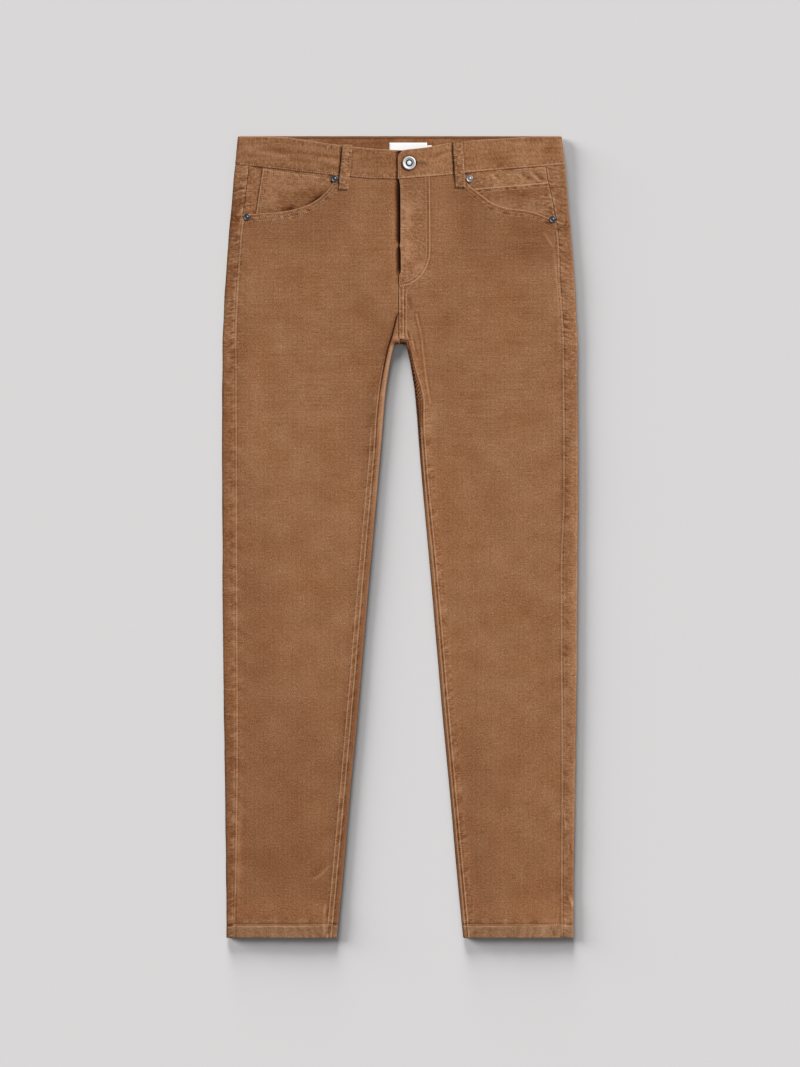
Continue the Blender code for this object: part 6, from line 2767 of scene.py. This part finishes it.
@dataclass
class Hardware:
    """The tack button and the four rivets."""

    button_radius: float = 0.0087
    shank_radius: float = 0.0023
    rivet_radius: float = 0.0045
    rivet_lift: float = 0.0002
    zone_height: float = 0.001
    # share of the radius at the foot, how much wider the rim swells, and half its height
    button_rim: tuple[float, float, float] = (0.86, 0.14, 0.00135)
    rivet_rim: tuple[float, float, float] = (0.84, 0.16, 0.0006)
    # share of the radius, height of the foot over the cloth, and rise
    button_dome: tuple[float, float, float] = (0.32, 0.0022, 0.0004)
    button_steps: int = 72
    rivet_steps: int = 40

    # shares of the radius, and heights over the cloth
    BUTTON_FACE = (
        (0.8, 0.00265), (0.77, 0.0025), (0.75, 0.00225), (0.73, 0.00205), (0.54, 0.002), (0.52, 0.0015),
        (0.35, 0.00148), (0.335, 0.002),
    )
    RIVET_CAP = (
        (0.66, 0.00095), (0.54, 0.00075), (0.44, 0.00085), (0.34, 0.00135), (0.18, 0.0016), (0.0, 0.00165),
    )
    # between which shares of the radius each of the button's other metals shows
    BUTTON_ZONES = {1: (0.335, 0.535), 2: (-1.0, 0.31), 3: (0.535, 0.76)}
    RIVETS = {
        "right_waist": (Side.RIGHT, 0.0849, 0.056),
        "right_side": (Side.RIGHT, 0.199, 0.1056),
        "left_waist": (Side.LEFT, 0.0905, 0.056),
        "left_side": (Side.LEFT, 0.1985, 0.1085),
    }

    def button(self, *metals: Material) -> Piece:
        """A tack button: a rolled rim, a sunk ring and a raised centre, on a shank through the band.

        Args:
            metals: Those of the rim, the recess, the centre and the ring.

        Returns:
            The finished piece.
        """
        band = Waistband()
        across = np.array(band.button_across)
        seat = float(FORM.band_height(Side.RIGHT, across)) + FORM.gap
        under = float(FORM.band_height(Side.LEFT, across)) + FORM.gap
        r = self.button_radius
        foot, swell, half = self.button_rim
        stem = [(0.0, seat), (self.shank_radius, seat), (self.shank_radius, under), (r * foot, under)]
        rim = [
            (r * (foot + swell * math.sin(a)), under + half - half * math.cos(a))
            for a in np.linspace(0.15, math.pi, 14)
        ]
        face = [(r * share, under + height) for share, height in self.BUTTON_FACE]
        turns = np.linspace(0, math.pi / 2, 8)
        share, start, rise = self.button_dome
        dome = [(r * share * math.cos(a), under + start + rise * math.sin(a)) for a in turns]
        dome[-1] = (0.0, dome[-1][1])
        at = (band.button_across, FORM.length / 2 - band.button_down, 0.0)
        made = turned("metal_button", [*stem, *rim, *face, *dome], at, self.button_steps)
        for metal in metals:
            made.data.materials.append(metal)
        for polygon in made.data.polygons:
            x, y, z = polygon.center
            radius = math.hypot(x - at[0], y - at[1])
            for index, (low, high) in self.BUTTON_ZONES.items():
                if r * low < radius < r * high and z > under + self.zone_height:
                    polygon.material_index = index
        return Piece(made, "button", "button_metal")

    def rivet(self, name: str, metal: Material) -> Piece:
        """A rivet cap with a rolled rim and a raised nipple.

        Args:
            name: Which rivet.
            metal: Its material.

        Returns:
            The finished piece.
        """
        side, across, down = self.RIVETS[name]
        r = self.rivet_radius
        turns = np.linspace(0, math.pi, 10)
        foot, swell, half = self.rivet_rim
        rim = [(r * (foot + swell * math.sin(a)), half - half * math.cos(a)) for a in turns]
        cap = [(r * share, height) for share, height in self.RIVET_CAP]
        around = np.array([(-1, 0), (1, 0), (0, -1), (0, 1), (0, 0)])
        seat = float(FORM.top(side, across + r * around[:, 0], down + r * around[:, 1]).max())
        at = (side.value * across, FORM.length / 2 - down, seat + self.rivet_lift)
        made = turned(f"metal_rivet_{name}", [(0.0, 0.0), *rim, *cap], at, self.rivet_steps)
        made.data.materials.append(metal)
        return Piece(made, f"rivet_{name}", "rivet_metal")


# Where it is seen


@dataclass
class Studio:
    """The surface, the lights and the camera."""

    view_width: float = 1.0413
    view_centre: tuple[float, float] = (0.0001, 0.0046)
    lens: float = 120.0
    sensor: float = 36.0
    ambient: float = 0.34
    key: float = 3.24
    key_angle: float = 22.0
    key_way: tuple[float, float] = (48.0, 40.0)
    low: float = 13.4
    low_angle: float = 22.0
    low_way: tuple[float, float] = (97.0, 9.0)
    side: float = 13.4
    side_angle: float = 30.0
    side_way: tuple[float, float] = (155.0, 9.5)
    floor_drop: float = 0.0003
    floor_reach: float = 60.0

    def floor(self, finish: Material) -> Object:
        """The wide flat surface under the garment.

        Args:
            finish: Its material.

        Returns:
            The object.
        """
        r, z = self.floor_reach, -self.floor_drop
        corners = [(-r, -r, z), (r, -r, z), (r, r, z), (-r, r, z)]
        made = shown("surface", mesh_of("surface", corners, [[0, 1, 2, 3]]))
        made.data.materials.append(finish)
        return made

    def sun(self, name: str, way: tuple[float, float], angle: float, power: float) -> Object:
        """A soft distant light.

        Args:
            name: The light's name.
            way: Where it stands: degrees round from +X towards +Y, and degrees up.
            angle: How wide it looks, in degrees.
            power: Its strength.

        Returns:
            The light.
        """
        light = bpy.data.lights.new(name, "SUN")
        light.energy = power
        light.angle = math.radians(angle)
        made = shown(name, light)
        made.rotation_euler = (0.0, math.radians(90 - way[1]), math.radians(way[0]))
        return made

    def only(self, light: Object, name: str, lit: Sequence[Object]) -> None:
        """Lets a light fall on some objects alone.

        Args:
            light: The light.
            name: A name for what it lights.
            lit: What it lights.
        """
        group = bpy.data.collections.new(name)
        for made in lit:
            group.objects.link(made)
        light.light_linking.receiver_collection = group

    def light(self, surface: Object, garment: Sequence[Object]) -> None:
        """Even light from all round, a soft main light, and two low ones that draw the surface's shade.

        Args:
            surface: What carries the garment.
            garment: The garment's pieces.
        """
        world = bpy.data.worlds.new("studio")
        world.use_nodes = True
        background = world.node_tree.nodes["Background"]
        background.inputs["Color"].default_value = (1.0, 1.0, 1.0, 1.0)
        background.inputs["Strength"].default_value = self.ambient
        bpy.context.scene.world = world
        main_light = self.sun("main light", self.key_way, self.key_angle, self.key)
        self.only(main_light, "garment", garment)
        low = self.sun("low light", self.low_way, self.low_angle, self.low)
        self.only(low, "under the low light", [surface])
        beside_it = self.sun("side light", self.side_way, self.side_angle, self.side)
        self.only(beside_it, "under the side light", [surface])
        bpy.context.scene.view_settings.view_transform = "Standard"

    def camera(self) -> None:
        """A long lens straight above the garment."""
        made = bpy.data.cameras.new("camera")
        made.lens = self.lens
        made.sensor_width = self.sensor
        made.sensor_fit = "HORIZONTAL"
        made.clip_end = 50.0
        camera = shown("camera", made)
        camera.location = (*self.view_centre, self.lens / self.sensor * self.view_width)
        bpy.context.scene.camera = camera


def declare(piece: Piece) -> Object:
    """Ties a finished piece to the frame, and says what it stands for and what it was cut from.

    Args:
        piece: The piece.

    Returns:
        Its object.
    """
    made = piece.made
    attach(made, "root")
    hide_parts(piece.node)
    if piece.flat:
        width, length = piece.flat
        cut = (width, length, piece.area or 0, width * length)
        log.info("%s: %.4f x %.4f m, area %.5f of %.5f", made.name, *cut)
    log.info("%s: %d faces, stands for %s", made.name, len(made.data.polygons), piece.node)
    return made


def main() -> None:
    """Builds the garment piece by piece, lights it and sets the camera."""
    logging.basicConfig(level=logging.INFO, format="%(message)s")
    corduroy = Corduroy().build()
    ribbon = LabelCloth().build()
    bright = Metal("brushed nickel", (0.95, 0.95, 0.95), 0.42, 0.7).build()
    pale = Metal("satin centre", (0.97, 0.97, 0.97), 0.5, 0.4).build()
    satin = Metal("satin ring", (0.68, 0.69, 0.71), 0.5, 0.9).build()
    dark = Metal("darkened recess", (0.022, 0.026, 0.04), 0.6, 0.2).build()
    old_metal = Metal("old dark metal", (0.125, 0.135, 0.155), 0.24).build()
    old_nickel = Metal("old nickel", (0.42, 0.4, 0.39), 0.34).build()
    sewing = Sewing(SewingThread().build())
    legs, pockets, waistband, labels, hardware = Legs(), Pockets(), Waistband(), Labels(), Hardware()
    made = []
    for side in Side:
        made += [legs.front(side, corduroy), legs.back(side, corduroy), legs.yoke(side, corduroy)]
        made += [pockets.facing(side, corduroy), waistband.front_loop(side, corduroy)]
        legs.sew(side, sewing)
        pockets.sew(side, sewing)
    made.append(pockets.patch(Side.RIGHT, "coin_pocket", corduroy))
    made.append(pockets.patch(Side.LEFT, "pocket_patch_left", corduroy))
    made.append(waistband.band(corduroy))
    made += [waistband.back_loop(word, centre, corduroy) for word, centre in waistband.BACK_LOOPS.items()]
    made += [labels.build(name, ribbon) for name in labels.PLACES]
    made.append(hardware.button(bright, dark, pale, satin))
    made += [
        hardware.rivet(name, old_nickel if name == "left_waist" else old_metal) for name in hardware.RIVETS
    ]
    waistband.sew(sewing)
    FACE.sew(sewing)
    garment = [declare(piece) for piece in made]
    for thread in sewing.sew():
        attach(thread, "root")
        log.info("%s: %d faces", thread.name, len(thread.data.polygons))
        garment.append(thread)
    studio = Studio()
    surface = studio.floor(Paper().build())
    studio.light(surface, garment)
    studio.camera()


if __name__ == "__main__":
    main()
